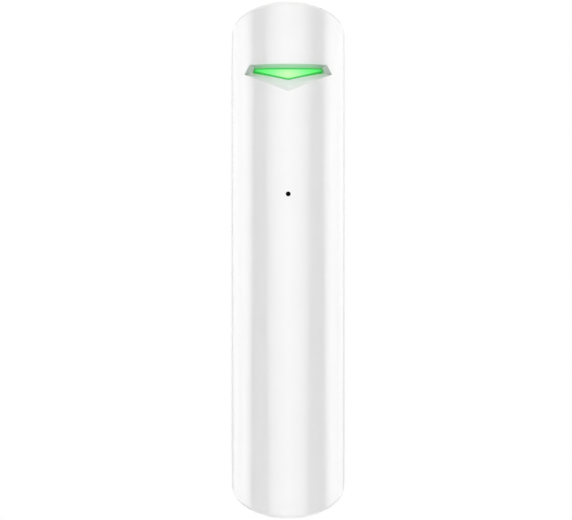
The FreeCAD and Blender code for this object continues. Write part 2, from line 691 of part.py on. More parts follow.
def window_prism(name, gap, near, far):
    """The window's outline shrunk by a gap, run back from near to far along the recess."""
    outline = corner_outline(
        f"window_top - {gap}", f"window_shoulder - {gap} / 4", f"window_bottom - {gap}",
        f"window_half_top - {gap}", f"window_half_wide - {gap}")
    body = prism(name, "XZ_Plane", outline, f"-({near})", f"({far}) - ({near})")
    body.Tip.Reversed = True
    return body


def light_guide():
    """Clear plug that fills the window, with a flange behind the wall and a stalk to the lamp."""
    plug = window_prism("GuidePlug", "guide_gap", "recess_depth / 2", "barrel_radius")
    plug_face = rod("GuideFace", "z", ("0", "barrel_radius"), RECESS_SPAN,
                    "recess_radius - guide_setback")
    tongue = in_recess_frame(common("GuideTongue", plug, plug_face))
    flange_radius = "(boss_radius - guide_gap)"
    low = "indicator_z - window_bottom - guide_overlap"
    high = "indicator_z + window_top + guide_overlap"
    inside = rod("GuideInside", "z", ("0", "axis_y"), (f"{low} - {CUT_MARGIN}", f"{high} + {CUT_MARGIN}"),
                 f"{flange_radius} - guide_flange")
    outside = rod("GuideOutside", "z", ("0", "axis_y"), (low, high), flange_radius)
    half = "(window_half_wide + guide_overlap / 2)"
    span = box("GuideSpan", (f"-{half}", half), ("front_face", "front_face + guide_reach"), (low, high))
    flange = cut("GuideFlange", common("GuideBand", outside, span), inside)
    trimmed = cut("GuideTongueTrim", tongue, inside)
    root = f"axis_y - {flange_radius} + guide_flange / 2"
    stalk = box("GuideStalk", ("-guide_stalk_width / 2", "guide_stalk_width / 2"),
                (root, "led_front - led_gap"),
                ("indicator_z - guide_stalk_height / 2", "indicator_z + guide_stalk_height / 2"))
    return fuse("LightGuide", trimmed, flange, stalk)


def front_housing():
    """White moulding: shell, recess boss, microphone socket, board rails and catches for the fingers."""
    outer = soften_ends(barrel_form("OuterForm", "0", "rear_face"))
    core = barrel_form("CoreForm", "housing_wall", f"rear_face + {CUT_MARGIN}")
    shell = cut("Shell", outer, core)
    inside = barrel_form("WallMiddle", "housing_wall / 2", "rear_face")
    low = "indicator_z - mouth_bottom - housing_wall"
    high = "indicator_z + mouth_top + housing_wall"
    band = box("BossBand", ("-barrel_radius", "barrel_radius"),
               ("front_face", "front_face + boss_reach"), (low, high))
    hollow = rod("BossHollow", "z", ("0", "axis_y"), (f"{low} - {CUT_MARGIN}", f"{high} + {CUT_MARGIN}"),
                 "boss_radius")
    boss = cut("RecessBoss", common("BossBlank", band, inside), hollow)
    place = ("0", "microphone_z")
    seat_radius = "(gasket_radius + socket_gap)"
    socket = rod("SocketBlank", "y", place, ("front_face", "socket_y + socket_depth"),
                 f"{seat_radius} + socket_wall")
    socket_inside = common("Socket", socket, inside)
    rail_edge = "(barrel_radius - housing_wall - rail_width)"
    rails = [box(f"RailBlank{number}", on_side(side, rail_edge, "barrel_radius"),
                 ("rail_back - rail_depth", "rail_back"),
                 ("board_low + rail_inset", "board_high - rail_inset"))
             for number, side in enumerate(("-", ""))]
    board_rails = common("BoardRails", fuse("RailBlanks", *rails), inside)
    body = fuse("HousingBlank", shell, boss, socket_inside, board_rails)
    tools = [
        recess_tool(),
        in_recess_frame(window_prism("WindowOpening", "0", "recess_depth / 2", "barrel_radius")),
        rod("SocketBore", "y", place, ("socket_y", "board_front"), seat_radius),
        rod("MeshSeat", "y", place, ("socket_y - mesh_thickness", f"socket_y + {TOOL_OVERLAP}"),
            "mesh_diameter / 2 + socket_gap"),
        rod("SoundHole", "y", place, (f"front_face - {CUT_MARGIN}", "socket_y"), "microphone_hole / 2"),
    ]
    catch_form = barrel_form("CatchForm", "housing_wall - barb_depth - fit_gap", "rear_face")
    strips = []
    for number, height in enumerate(("finger_low", "finger_high")):
        half = "(finger_width / 2 + fit_gap)"
        strips.append(box(
            f"CatchStrip{number}", ("-barrel_radius - 1", "barrel_radius + 1"),
            ("cover_front - finger_length - fit_gap", "cover_front - finger_length + barb_height + fit_gap"),
            (f"{height} - {half}", f"{height} + {half}")))
    tools.append(common("Catches", fuse("CatchStrips", *strips), catch_form))
    return cut("FrontHousing", body, *tools)


def on_side(side, near, far):
    """Low and high limit across, for what lies between near and far on one side of the centre line."""
    return (f"-{far}", f"-{near}") if side else (near, far)


def keyholes():
    """Keyhole for each bracket hook: the hook rests at the top of its narrow part."""
    tools = []
    inner = "(hook_half_spread - hook_stem / 2 - slot_play)"
    outer = "(hook_half_spread + hook_stem / 2 + slot_play)"
    through = (f"cover_front - {CUT_MARGIN}", f"rear_face + {CUT_MARGIN}")
    for row, height in enumerate(("hook_low", "hook_high")):
        top = f"{height} + hook_length / 2 + slide_seat"
        wide_top = f"{height} - slide_travel + hook_length / 2 + slot_play"
        wide_low = f"{height} - slide_travel - hook_length / 2 - slot_play"
        for column, side in enumerate(("-", "")):
            narrow = on_side(side, inner, outer)
            wide = on_side(side, f"({inner} - hook_lip)", outer)
            mark = f"{row}{column}"
            tools.append(box(f"KeyholeNarrow{mark}", narrow, through, (wide_low, top)))
            tools.append(box(f"KeyholeWide{mark}", wide, through, (wide_low, wide_top)))
            tools.append(box(f"HookPath{mark}", wide, ("hook_tip - slot_play", "cover_front"),
                             (wide_low, top)))
    return tools


def snap_fingers(cover_form):
    """Fingers that rise beside the cell, with barbs that click into the housing wall."""
    fingers = []
    inside = barrel_form("FingerInside", "housing_wall + fit_gap + finger_thickness", "rear_face")
    barb_form = barrel_form("BarbForm", "housing_wall - barb_depth + fit_gap", "rear_face")
    tip = "cover_front - finger_length"
    blanks = []
    barbs = []
    for number, height in enumerate(("finger_low", "finger_high")):
        across = ("-barrel_radius - 1", "barrel_radius + 1")
        along = (f"{height} - finger_width / 2", f"{height} + finger_width / 2")
        blanks.append(box(f"FingerBlank{number}", across, (tip, "cover_front + cover_thickness / 2"), along))
        barbs.append(box(f"BarbBlank{number}", across, (tip, f"{tip} + barb_height"), along))
    fingers.append(cut("Fingers", common("FingerShapes", fuse("FingerBlanks", *blanks), cover_form), inside))
    fingers.append(cut("Barbs", common("BarbShapes", fuse("BarbBlanks", *barbs), barb_form), inside))
    return fingers


POST_HEIGHTS = ("board_low + post_inset_low", "board_high - post_inset_high")


def board_posts():
    """Posts under the board, with pegs through its holes."""
    posts = []
    for row, height in enumerate(POST_HEIGHTS):
        for column, side in enumerate(("-", "")):
            place = (f"{side}post_half_spread", height)
            posts.append(rod(f"Post{row}{column}", "y", place,
                             ("board_back", "cover_front + cover_thickness / 2"), "post_diameter / 2"))
            posts.append(rod(f"Peg{row}{column}", "y", place,
                             ("board_back - peg_length", "board_back"), "peg_diameter / 2"))
    return posts


def rear_cover():
    """Chassis plate with rims, cell bulkheads and saddles, board posts, snap fingers and keyholes."""
    cover_form = barrel_form("CoverForm", "housing_wall + fit_gap", "rear_face")
    wide = ("-barrel_radius", "barrel_radius")
    tall = ("-apex", "apex")
    root = "cover_front + cover_thickness / 2"
    wall_front = "cover_front - bulkhead_height"
    saddle_front = "cover_front - saddle_rise"
    first_saddle = "battery_low + saddle_inset"
    last_saddle = "battery_high - saddle_inset - saddle"
    blanks = [
        box("CoverPlate", wide, ("cover_front", f"rear_face + {CUT_MARGIN}"), tall),
        box("LowBulkhead", wide, (wall_front, root), ("cell_floor", "cell_floor + bulkhead")),
        box("HighBulkhead", wide, (wall_front, root), ("cell_ceiling", "cell_ceiling + bulkhead")),
        box("FirstSaddle", wide, (saddle_front, root), (first_saddle, f"{first_saddle} + saddle")),
        box("LastSaddle", wide, (saddle_front, root), (last_saddle, f"{last_saddle} + saddle")),
    ]
    slits = []
    for column, side in enumerate(("-", "")):
        across = on_side(side, "(barrel_radius - housing_wall - fit_gap - rim_thickness)", "barrel_radius")
        blanks.append(box(f"CoverRim{column}", across, ("cover_front - rim_height", root),
                          ("cell_floor", "-cell_floor")))
        for row, height in enumerate(("finger_low", "finger_high")):
            for end, edge in enumerate((f"{height} - finger_width / 2 - rim_slit",
                                        f"{height} + finger_width / 2")):
                slits.append(box(f"RimSlit{column}{row}{end}", across,
                                 ("cover_front - rim_height", "cover_front"), (edge, f"{edge} + rim_slit")))
    inner = common("CoverInner", fuse("CoverBlanks", *blanks), cover_form)
    guide = rod("PlungerGuide", "y", ("0", "tamper_z"),
                ("cover_front - plunger_guide", root), "plunger_diameter / 2 + plunger_guide_wall")
    body = fuse("CoverBody", inner, guide, *snap_fingers(cover_form), *board_posts())
    through = (f"cover_front - {CUT_MARGIN}", f"rear_face + {CUT_MARGIN}")
    slide_half = "(slider_knob / 2 + slider_travel / 2 + slider_play)"
    knob_half = "(slider_knob_height / 2 + slider_play)"
    groove = "(latch_half_width / 2 + latch_play)"
    tools = keyholes() + slits + [
        rod("CellRoom", "z", ("0", "axis_y"), ("contact_floor", "cell_ceiling"),
            "battery_diameter / 2 + saddle_gap"),
        box("LongStrapWay", ("strap_inner - strap_play", "strap_outer + strap_play"),
            ("cover_front - contact_sheet - strap_play", "cover_front"),
            ("contact_floor", f"cell_ceiling + bulkhead + {CUT_MARGIN}")),
        box("ShortStrapWay", ("-strap_width / 2 - strap_play", "strap_width / 2 + strap_play"),
            ("board_back - strap_play", "board_back + contact_sheet + strap_play"),
            ("cell_ceiling", f"cell_ceiling + bulkhead + {CUT_MARGIN}")),
        box("SliderWindow", (f"-{slide_half}", slide_half), through,
            (f"switch_z - {knob_half}", f"switch_z + {knob_half}")),
        rod("PlungerBore", "y", ("0", "tamper_z"),
            (f"cover_front - plunger_guide - {CUT_MARGIN}", f"rear_face + {CUT_MARGIN}"),
            "plunger_diameter / 2 + plunger_play"),
        box("TerminalWindow", ("-terminal_width / 2", "terminal_width / 2"), through,
            ("terminal_low", "terminal_high + terminal_view")),
        box("LatchGroove", (f"-{groove}", groove),
            ("rear_face - latch_bump - latch_play + bracket_gap", f"rear_face + {CUT_MARGIN}"),
            ("bump_z - latch_bump_length / 2 - slide_travel - latch_play",
             "bump_z + latch_bump_length / 2 + latch_play")),
    ]
    return cut("RearCover", body, *tools)


def bracket_hooks():
    """Four L-hooks that stand up from the bracket, with their lips inwards and chamfered."""
    outer = "(hook_half_spread + hook_stem / 2)"
    inner = "(hook_half_spread - hook_stem / 2)"
    tip = f"({inner} - hook_lip)"
    root = "-bracket_thickness / 2"
    profile = [
        (outer, root),
        (outer, "hook_tip + hook_chamfer"),
        (f"({outer} - hook_chamfer)", "hook_tip"),
        (f"({tip} + hook_chamfer)", "hook_tip"),
        (tip, "hook_tip + hook_chamfer"),
        (tip, "hook_lip_face"),
        (inner, "hook_lip_face"),
        (inner, root),
    ]
    hooks = []
    for row, height in enumerate(("hook_low", "hook_high")):
        for column, side in enumerate(("-", "")):
            corners = [(side + across, along) for across, along in profile]
            hooks.append(prism(f"Hook{row}{column}", "XY_Plane", corners, f"{height} - hook_length / 2",
                               "hook_length"))
    return hooks


def wall_bracket():
    """Plate on the wall: hooks over their windows, countersunk holes, breakaway tab and latch tongue."""
    outline = bevel_rear(barrel_form("BracketForm", "bracket_inset", "0"), "bracket_chamfer")
    slab = box("BracketSlab", ("-barrel_radius - 1", "barrel_radius + 1"),
               ("-bracket_thickness", f"{CUT_MARGIN}"), ("-apex", "apex"))
    plate = common("BracketPlate", outline, slab)
    crest = "-bracket_thickness - latch_bump"
    bump_low = "bump_z - latch_bump_length / 2"
    bump_high = "bump_z + latch_bump_length / 2"
    bump = prism("LatchBump", "YZ_Plane", [
        ("-bracket_thickness / 2", bump_low),
        ("-bracket_thickness", bump_low),
        (crest, f"{bump_low} + latch_bump_slope"),
        (crest, f"{bump_high} - latch_bump_slope"),
        ("-bracket_thickness", bump_high),
        ("-bracket_thickness / 2", bump_high),
    ], "-latch_half_width / 2", "latch_half_width")
    body = fuse("BracketBody", plate, bump, *bracket_hooks())
    through = (f"-bracket_thickness - {CUT_MARGIN}", f"{CUT_MARGIN}")
    tools = []
    lip_root = "(hook_half_spread - hook_stem / 2)"
    for row, height in enumerate(("hook_low", "hook_high")):
        for column, side in enumerate(("-", "")):
            tools.append(box(f"HookWindow{row}{column}", on_side(side, f"({lip_root} - hook_lip)", lip_root),
                             through, (f"{height} - hook_length / 2", f"{height} + hook_length / 2")))
    head_depth = "(screw_head - screw_hole) / 2"
    for number, height in enumerate(("screw_low", "screw_high")):
        place = ("0", height)
        tools.append(rod(f"ScrewHole{number}", "y", place, through, "screw_hole / 2"))
        tools.append(cone(f"ScrewSink{number}", "y", place,
                          ("-bracket_thickness", f"-bracket_thickness + {head_depth}"),
                          ("screw_head / 2", "screw_hole / 2")))
    tab_middle = "(tab_low + tab_high) / 2"
    tools.append(rod("TabHole", "y", ("0", "tab_low + tab_hole_rise"), through, "tab_hole / 2"))
    ring = cut("TabRing",
               box("TabOutside", ("-tab_half_width - tab_slit", "tab_half_width + tab_slit"), through,
                   ("tab_low - tab_slit", "tab_high + tab_slit")),
               box("TabInside", ("-tab_half_width", "tab_half_width"), through, ("tab_low", "tab_high")),
               box("TabBridgeAcross", ("-barrel_radius", "barrel_radius"), through,
                   (f"{tab_middle} - tab_bridge / 2", f"{tab_middle} + tab_bridge / 2")),
               box("TabBridgeAlong", ("-tab_bridge / 2", "tab_bridge / 2"), through, ("-apex", "apex")))
    tools.append(ring)
    low = "latch_top - latch_length"
    tools.append(cut("LatchSlit",
                     box("LatchOutside", ("-latch_half_width - latch_slit", "latch_half_width + latch_slit"),
                         through, (f"{low} - latch_slit", "latch_top")),
                     box("LatchInside", ("-latch_half_width", "latch_half_width"), through,
                         (low, f"latch_top + {CUT_MARGIN}"))))
    return cut("WallBracket", body, *tools)


def battery():
    """Photo cell: can with rolled shoulders and a button on top."""
    radius = "battery_diameter / 2"
    neck = f"{radius} - battery_shoulder"
    top = "battery_length - battery_button_rise"
    section = [
        ("0", "0"),
        ("0", neck),
        ("battery_shoulder", radius),
        (f"{top} - battery_shoulder", radius),
        (top, neck),
        (top, "battery_button / 2"),
        ("battery_length", "battery_button / 2"),
        ("battery_length", "0"),
    ]
    return turned("Battery", section, "z", ("0", "axis_y", "battery_low"))


def main_board():
    """Printed circuit board on the posts."""
    half = "board_width / 2"
    plate = box("BoardPlate", (f"-{half}", half), ("board_front", "board_back"),
                ("board_low", "board_high"))
    limit = barrel_form("BoardLimit", "housing_wall + fit_gap", "rear_face")
    holes = []
    for row, height in enumerate(POST_HEIGHTS):
        for column, side in enumerate(("-", "")):
            holes.append(rod(f"BoardHole{row}{column}", "y", (f"{side}post_half_spread", height),
                             ("board_front - 1", "board_back + 1"), "peg_diameter / 2 + peg_gap"))
    return cut("MainBoard", common("BoardBlank", plate, limit), *holes)


def microphone():
    """Electret capsule with rolled edges on two pins."""
    radius = "microphone_diameter / 2"
    neck = f"{radius} - microphone_roll"
    port_floor = "capsule_front + microphone_port_depth"
    can = turned("Capsule", [
        (port_floor, "0"),
        (port_floor, "microphone_port / 2"),
        ("capsule_front", "microphone_port / 2"),
        ("capsule_front", neck),
        ("capsule_front + microphone_roll", radius),
        ("capsule_back - microphone_roll", radius),
        ("capsule_back", neck),
        ("capsule_back", "0"),
    ], "y", ("0", "0", "microphone_z"))
    pins = [rod(f"CapsulePin{number}", "y", (f"{side}microphone_pins / 2", "microphone_z"),
                ("capsule_back - microphone_roll", "board_front"), "pin_diameter / 2")
            for number, side in enumerate(("-", ""))]
    return fuse("Microphone", can, *pins)


def microphone_gasket():
    """Rubber boot round the capsule, pressed into the housing's socket."""
    place = ("0", "microphone_z")
    outside = rod("BootOutside", "y", place, ("socket_y", "capsule_back - gasket_setback"), "gasket_radius")
    inside = rod("BootInside", "y", place, ("capsule_front", "capsule_back"), "microphone_diameter / 2")
    port = rod("BootPort", "y", place, (f"socket_y - {CUT_MARGIN}", f"capsule_front + {CUT_MARGIN}"),
               "gasket_bore / 2")
    return cut("MicrophoneGasket", outside, inside, port)


def acoustic_mesh():
    """Fine mesh disc behind the sound hole."""
    return rod("AcousticMesh", "y", ("0", "microphone_z"), ("socket_y - mesh_thickness", "socket_y"),
               "mesh_diameter / 2")


def indicator_led():
    """Lamp on the front of the board, in line with the light guide's stalk."""
    along = ("indicator_z - led_height / 2", "indicator_z + led_height / 2")
    shoulder = "board_front - led_base"
    base = box("LedBase", ("-led_width / 2", "led_width / 2"), (shoulder, "board_front"), along)
    lens = box("LedLens", ("-lens_width / 2", "lens_width / 2"), ("led_front", shoulder), along)
    return fuse("IndicatorLed", base, lens)


def radio_shield():
    """Folded can over the radio, open to the board and on four corner legs."""
    left = "-board_width / 2 + shield_margin"
    right = f"{left} + shield_width"
    low = "board_low + shield_rise"
    high = f"{low} + shield_height"
    behind = f"board_front + {CUT_MARGIN}"
    outside = box("ShieldOutside", (left, right), ("board_front - shield_depth", "board_front"), (low, high))
    inside = box("ShieldInside", (f"{left} + shield_wall", f"{right} - shield_wall"),
                 ("board_front - shield_depth + shield_wall", behind),
                 (f"{low} + shield_wall", f"{high} - shield_wall"))
    notch = ("board_front - shield_notch", behind)
    notch_across = box("ShieldNotchAcross", (f"{left} - {CUT_MARGIN}", f"{right} + {CUT_MARGIN}"), notch,
                       (f"{low} + shield_leg", f"{high} - shield_leg"))
    notch_along = box("ShieldNotchAlong", (f"{left} + shield_leg", f"{right} - shield_leg"), notch,
                      (f"{low} - {CUT_MARGIN}", f"{high} + {CUT_MARGIN}"))
    return cut("RadioShield", outside, inside, notch_across, notch_along)


WIRE_SIDES = 8


def coil(name, axis, centre, low, length, diameter, wire, pitch):
    """An eight-sided wire wound round an axis."""
    helix = doc.addObject("Part::Helix", name + "Path")
    radius = f"(({diameter}) - ({wire})) / 2"
    bind(helix, "Pitch", pitch)
    bind(helix, "Height", length)
    bind(helix, "Radius", radius)
    ring = doc.addObject("Part::RegularPolygon", name + "Wire")
    ring.Polygon = WIRE_SIDES
    ring.Placement = Placement(Vector(), Rotation(Vector(1, 0, 0), 90))
    bind(ring, "Circumradius", f"({wire}) / 2")
    bind(ring, "Placement.Base.x", radius)
    sweep = doc.addObject("Part::Sweep", name)
    sweep.Sections = [ring]
    sweep.Spine = (helix, [])
    sweep.Solid = True
    sweep.Frenet = True
    return on_axis(sweep, axis, centre, low)


def antenna():
    """Helical aerial beside the shield, on two legs."""
    x = "board_width / 2 - antenna_margin - antenna_diameter / 2"
    y = "board_front - antenna_lift - antenna_diameter / 2"
    low = "board_low + antenna_rise"
    winding = coil("AntennaCoil", "z", (x, y), low, "antenna_length", "antenna_diameter", "antenna_wire",
                   "antenna_pitch")
    leg_x = f"{x} + (antenna_diameter - antenna_wire) / 2"
    legs = [rod(f"AntennaLeg{number}", "y", (leg_x, height), (y, "board_front"), "antenna_leg / 2")
            for number, height in enumerate((low, f"{low} + antenna_length"))]
    return fuse("Antenna", winding, *legs)


def processor_chip():
    """Square chip on the back of the board, above the terminals."""
    half = "chip_size / 2"
    low = "terminal_high + chip_gap"
    return box("ProcessorChip", (f"-{half}", half), ("board_back", "board_back + chip_thickness"),
               (low, f"{low} + chip_size"))


# Middles of the small components as (across, above the lower edge of the board) in millimetres.
FRONT_COMPONENTS = [(3.4, 3.4), (3.4, 5.4), (3.4, 7.4), (5.6, 5.4), (3.2, 23.9), (3.2, 28.4), (5.6, 28.4)]
BACK_COMPONENTS = [(4.4, 8.8), (4.4, 10.6), (4.4, 12.4), (4.4, 14.2), (6.6, 10.6), (6.6, 12.4)]


def chip_components():
    """Small chip components, in mirrored rows on the front and the back of the board."""
    faces = (
        ("Front", FRONT_COMPONENTS, ("board_front - component_height", "board_front")),
        ("Back", BACK_COMPONENTS, ("board_back", "board_back + component_height")),
    )
    blocks = []
    for face, places, span in faces:
        for number, (across, rise) in enumerate(places):
            for column, middle in enumerate((-across, across)):
                blocks.append(box(
                    f"Component{face}{number}{column}",
                    (f"{middle} - component_length / 2", f"{middle} + component_length / 2"), span,
                    (f"board_low + {rise} - component_width / 2",
                     f"board_low + {rise} + component_width / 2")))
    return group("ChipComponents", *blocks)


def power_switch():
    """Slide switch on the back of the board."""
    half = "switch_width / 2"
    tall = "switch_height / 2"
    shell = box("SwitchShell", (f"-{half}", half), ("board_back", "switch_back"),
                (f"switch_z - {tall}", f"switch_z + {tall}"))
    reach = "(slider_width / 2 + slider_travel / 2 + slider_play)"
    narrow = "(slider_height / 2 + slider_play)"
    slot = box("SwitchSlot", (f"-{reach}", reach),
               ("board_back + switch_floor", f"switch_back + {CUT_MARGIN}"),
               (f"switch_z - {narrow}", f"switch_z + {narrow}"))
    return cut("PowerSwitch", shell, slot)


def power_slider():
    """Grooved knob in the cover's window on a stem that reaches into the switch, at the on end."""
    middle = "-slider_travel / 2"
    stem = box("SliderStem", (f"{middle} - slider_width / 2", f"{middle} + slider_width / 2"),
               ("board_back + switch_floor + slider_foot_gap", "cover_front"),
               ("switch_z - slider_height / 2", "switch_z + slider_height / 2"))
    knob_back = "rear_face - slider_sunk"
    tall = ("switch_z - slider_knob_height / 2", "switch_z + slider_knob_height / 2")
    knob = box("SliderKnob", (f"{middle} - slider_knob / 2", f"{middle} + slider_knob / 2"),
               ("cover_front - slider_shoulder", knob_back), tall)
    grooves = []
    for number, step in enumerate((-1, 0, 1)):
        place = f"{middle} + {step} * slider_groove_pitch"
        grooves.append(box(f"SliderGroove{number}", (f"{place} - slider_groove / 2",
                                                     f"{place} + slider_groove / 2"),
                           (f"{knob_back} - slider_groove_depth", f"{knob_back} + {CUT_MARGIN}"), tall))
    return cut("PowerSlider", fuse("SliderBlank", stem, knob), *grooves)


def tamper_switch():
    """Plunger switch on the back of the board."""
    half = "tamper_size / 2"
    shell = box("TamperShell", (f"-{half}", half), ("board_back", "tamper_back"),
                (f"tamper_z - {half}", f"tamper_z + {half}"))
    bore = rod("TamperBore", "y", ("0", "tamper_z"),
               ("tamper_back - plunger_reach - plunger_travel - plunger_spare",
                f"tamper_back + {CUT_MARGIN}"), "plunger_foot / 2 + plunger_play")
    return cut("TamperSwitch", shell, bore)


def tamper_plunger():
    """Turned plunger: tip at the bracket, collar under the cover and foot in the switch."""
    foot = "tamper_back - plunger_reach"
    section = [
        (foot, "0"),
        (foot, "plunger_foot / 2"),
        ("collar_front", "plunger_foot / 2"),
        ("collar_front", "plunger_collar / 2"),
        ("collar_back", "plunger_collar / 2"),
        ("collar_back", "plunger_diameter / 2"),
        ("plunger_tip - plunger_chamfer", "plunger_diameter / 2"),
        ("plunger_tip", "plunger_diameter / 2 - plunger_chamfer"),
        ("plunger_tip", "0"),
    ]
    return turned("TamperPlunger", section, "y", ("0", "0", "tamper_z"))


def tamper_spring():
    """Coil spring between the switch and the plunger's collar."""
    low = "tamper_back + spring_wire / 2 + spring_seat"
    length = "(collar_front - tamper_back - spring_wire - 2 * spring_seat)"
    return coil("TamperSpring", "y", ("0", "tamper_z"), low, length, "spring_diameter", "spring_wire",
                f"{length} / spring_turns")


TERMINAL_WAYS = ("-terminal_pitch / 2", "terminal_pitch / 2")


def terminal_block():
    """Two-way screw terminal: screw wells face the back, wire entries face up."""
    body = prism("TerminalBody", "YZ_Plane", [
        ("board_back", "terminal_low"),
        ("board_back", "terminal_high"),
        ("terminal_back - terminal_chamfer", "terminal_high"),
        ("terminal_back", "terminal_high - terminal_chamfer"),
        ("terminal_back", "terminal_low"),
    ], "-terminal_width / 2", "terminal_width")
    tools = []
    for number, x in enumerate(TERMINAL_WAYS):
        tools.append(rod(f"TerminalWell{number}", "y", (x, "screw_z"),
                         ("terminal_back - terminal_well_depth", f"terminal_back + {CUT_MARGIN}"),
                         "terminal_screw / 2 + terminal_play"))
        tools.append(box(f"TerminalEntry{number}", (f"{x} - terminal_entry / 2", f"{x} + terminal_entry / 2"),
                         ("entry_front", "entry_back"),
                         ("terminal_low + terminal_end", f"terminal_high + {CUT_MARGIN}")))
    return cut("TerminalBlock", body, *tools)


def terminal_screws():
    """Slotted screws in the wells, with their shanks through the roofs of the clamps."""
    head_back = "terminal_back - terminal_screw_sunk"
    head_front = f"{head_back} - terminal_head"
    shank_front = "entry_back - clamp_play - clamp_wall - clamp_bite"
    screws = []
    for number, x in enumerate(TERMINAL_WAYS):
        place = (x, "screw_z")
        head = rod(f"TerminalHead{number}", "y", place, (head_front, head_back), "terminal_screw / 2")
        shank = rod(f"TerminalShank{number}", "y", place, (shank_front, head_front), "terminal_shank / 2")
        slot = box(f"TerminalSlot{number}", (f"{x} - terminal_screw", f"{x} + terminal_screw"),
                   (f"{head_back} - terminal_slot_depth", f"{head_back} + {CUT_MARGIN}"),
                   ("screw_z - terminal_slot / 2", "screw_z + terminal_slot / 2"))
        screws.append(cut(f"TerminalScrew{number}", fuse(f"TerminalScrewBody{number}", head, shank), slot))
    return group("TerminalScrews", *screws)


def terminal_clamps():
    """Sheet cages in the wire entries, each with a hole in its roof for the screw."""
    clamps = []
    half = "(terminal_entry / 2 - clamp_play)"
    for number, x in enumerate(TERMINAL_WAYS):
        near, far = "entry_front + clamp_play", "entry_back - clamp_play"
        outside = box(f"ClampOutside{number}", (f"{x} - {half}", f"{x} + {half}"), (near, far),
                      ("screw_z - clamp_length / 2", "screw_z + clamp_length / 2"))
        inside = box(f"ClampInside{number}", (f"{x} - {half} + clamp_wall", f"{x} + {half} - clamp_wall"),
                     (f"{near} + clamp_wall", f"{far} - clamp_wall"),
                     (f"screw_z - clamp_length / 2 - {CUT_MARGIN}",
                      f"screw_z + clamp_length / 2 + {CUT_MARGIN}"))
        hole = rod(f"ClampHole{number}", "y", (x, "screw_z"), (f"{far} - 2 * clamp_wall", "entry_back"),
                   "terminal_shank / 2 + clamp_play")
        clamps.append(cut(f"Clamp{number}", outside, inside, hole))
    return group("TerminalClamps", *clamps)


CONTACT_SPAN = ("axis_y - contact_height / 2", "axis_y + contact_height / 2")


def contact_plate(name, low, high):
    """Flat plate of a battery contact against its bulkhead."""
    return box(name, ("-contact_width / 2", "contact_width / 2"), CONTACT_SPAN, (low, high))


def battery_contact_positive():
    """Plate with a dimple for the cell's button and a strap through the bulkhead to the board."""
    under = "cell_ceiling - contact_sheet"
    plate = contact_plate("PositivePlate", under, "cell_ceiling")
    dimple = cone("PositiveDimple", "z", ("0", "axis_y"), ("battery_high + contact_gap", under),
                  ("contact_dimple / 2 - contact_sheet", "contact_dimple / 2"))
    strap = box("PositiveStrap", ("-strap_width / 2", "strap_width / 2"),
                ("board_back", "board_back + contact_sheet"), (under, "board_low + strap_tab"))
    return fuse("PositiveContact", plate, dimple, strap)


def battery_contact_negative():
    """Plate with a folded spring leaf under the cell and a long strap beside it to the board."""
    top = "contact_floor + contact_sheet"
    plate = contact_plate("NegativePlate", "contact_floor", top)
    fold, end = CONTACT_SPAN
    crest_near = "axis_y - contact_crest / 2"
    crest_far = "axis_y + contact_crest / 2"
    leaf = prism("SpringLeaf", "YZ_Plane", [
        (fold, "contact_floor"),
        (fold, "contact_floor + 3 * contact_sheet"),
        (crest_near, "leaf_crest"),
        (crest_far, "leaf_crest"),
        (f"{end} - contact_sheet", "contact_floor + 3 * contact_sheet"),
        (f"{end} - contact_sheet", f"{top} + contact_sheet"),
        (crest_far, "leaf_crest - contact_sheet"),
        (crest_near, "leaf_crest - contact_sheet"),
        (f"{fold} + contact_sheet", f"{top} + contact_sheet"),
        (f"{fold} + contact_sheet", "contact_floor"),
    ], "-contact_leaf / 2", "contact_leaf")
    across = ("strap_inner", "strap_outer")
    lying = ("cover_front - contact_sheet", "cover_front")
    crossing = "cell_ceiling + bulkhead"
    strap = [
        box("StrapFoot", across, (CONTACT_SPAN[0], "cover_front"), ("contact_floor", top)),
        box("StrapLength", across, lying, ("contact_floor", f"{crossing} + contact_sheet")),
        box("StrapRise", across, ("board_back", "cover_front"),
            (crossing, f"{crossing} + contact_sheet")),
        box("StrapTab", across, ("board_back", "board_back + contact_sheet"),
            (crossing, "board_low + strap_tab")),
    ]
    return fuse("NegativeContact", plate, leaf, *strap)


def build():
    """Every piece of the sensor under the name that a person would use for it."""
    return {
        "front_housing": front_housing(),
        "light_guide": light_guide(),
        "rear_cover": rear_cover(),
        "wall_bracket": wall_bracket(),
        "battery": battery(),
        "battery_contact_positive": battery_contact_positive(),
        "battery_contact_negative": battery_contact_negative(),
        "main_board": main_board(),
        "microphone": microphone(),
        "microphone_gasket": microphone_gasket(),
        "acoustic_mesh": acoustic_mesh(),
        "indicator_led": indicator_led(),
        "radio_shield": radio_shield(),
        "antenna": antenna(),
        "processor_chip": processor_chip(),
        "chip_components": chip_components(),
        "power_switch": power_switch(),
        "power_slider": power_slider(),
        "tamper_switch": tamper_switch(),
        "tamper_plunger": tamper_plunger(),
        "tamper_spring": tamper_spring(),
        "terminal_block": terminal_block(),
        "terminal_screws": terminal_screws(),
        "terminal_clamps": terminal_clamps(),
    }


def check_document(pieces):
    """Stop if any object failed or any piece has no sound shape."""
    for item in doc.Objects:
        if "Invalid" in item.State or "Error" in item.State:
            raise RuntimeError(f"{item.Name} ({item.Label}) is {item.State}")
    for node, item in pieces.items():
        if item.Shape.isNull() or not item.Shape.isValid() or not item.Shape.Solids:
            raise RuntimeError(f"{node} has no sound shape")


def main():
    pieces = build()
    for node, item in pieces.items():
        item.Label = node
    doc.recompute()
    check_document(pieces)
    os.makedirs("parts", exist_ok=True)
    for node, item in pieces.items():
        print(node, len(item.Shape.Solids), round(item.Shape.Volume, 2), item.Shape.BoundBox)
        item.Shape.exportStep(f"parts/{node}.step")


main()
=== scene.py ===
import math

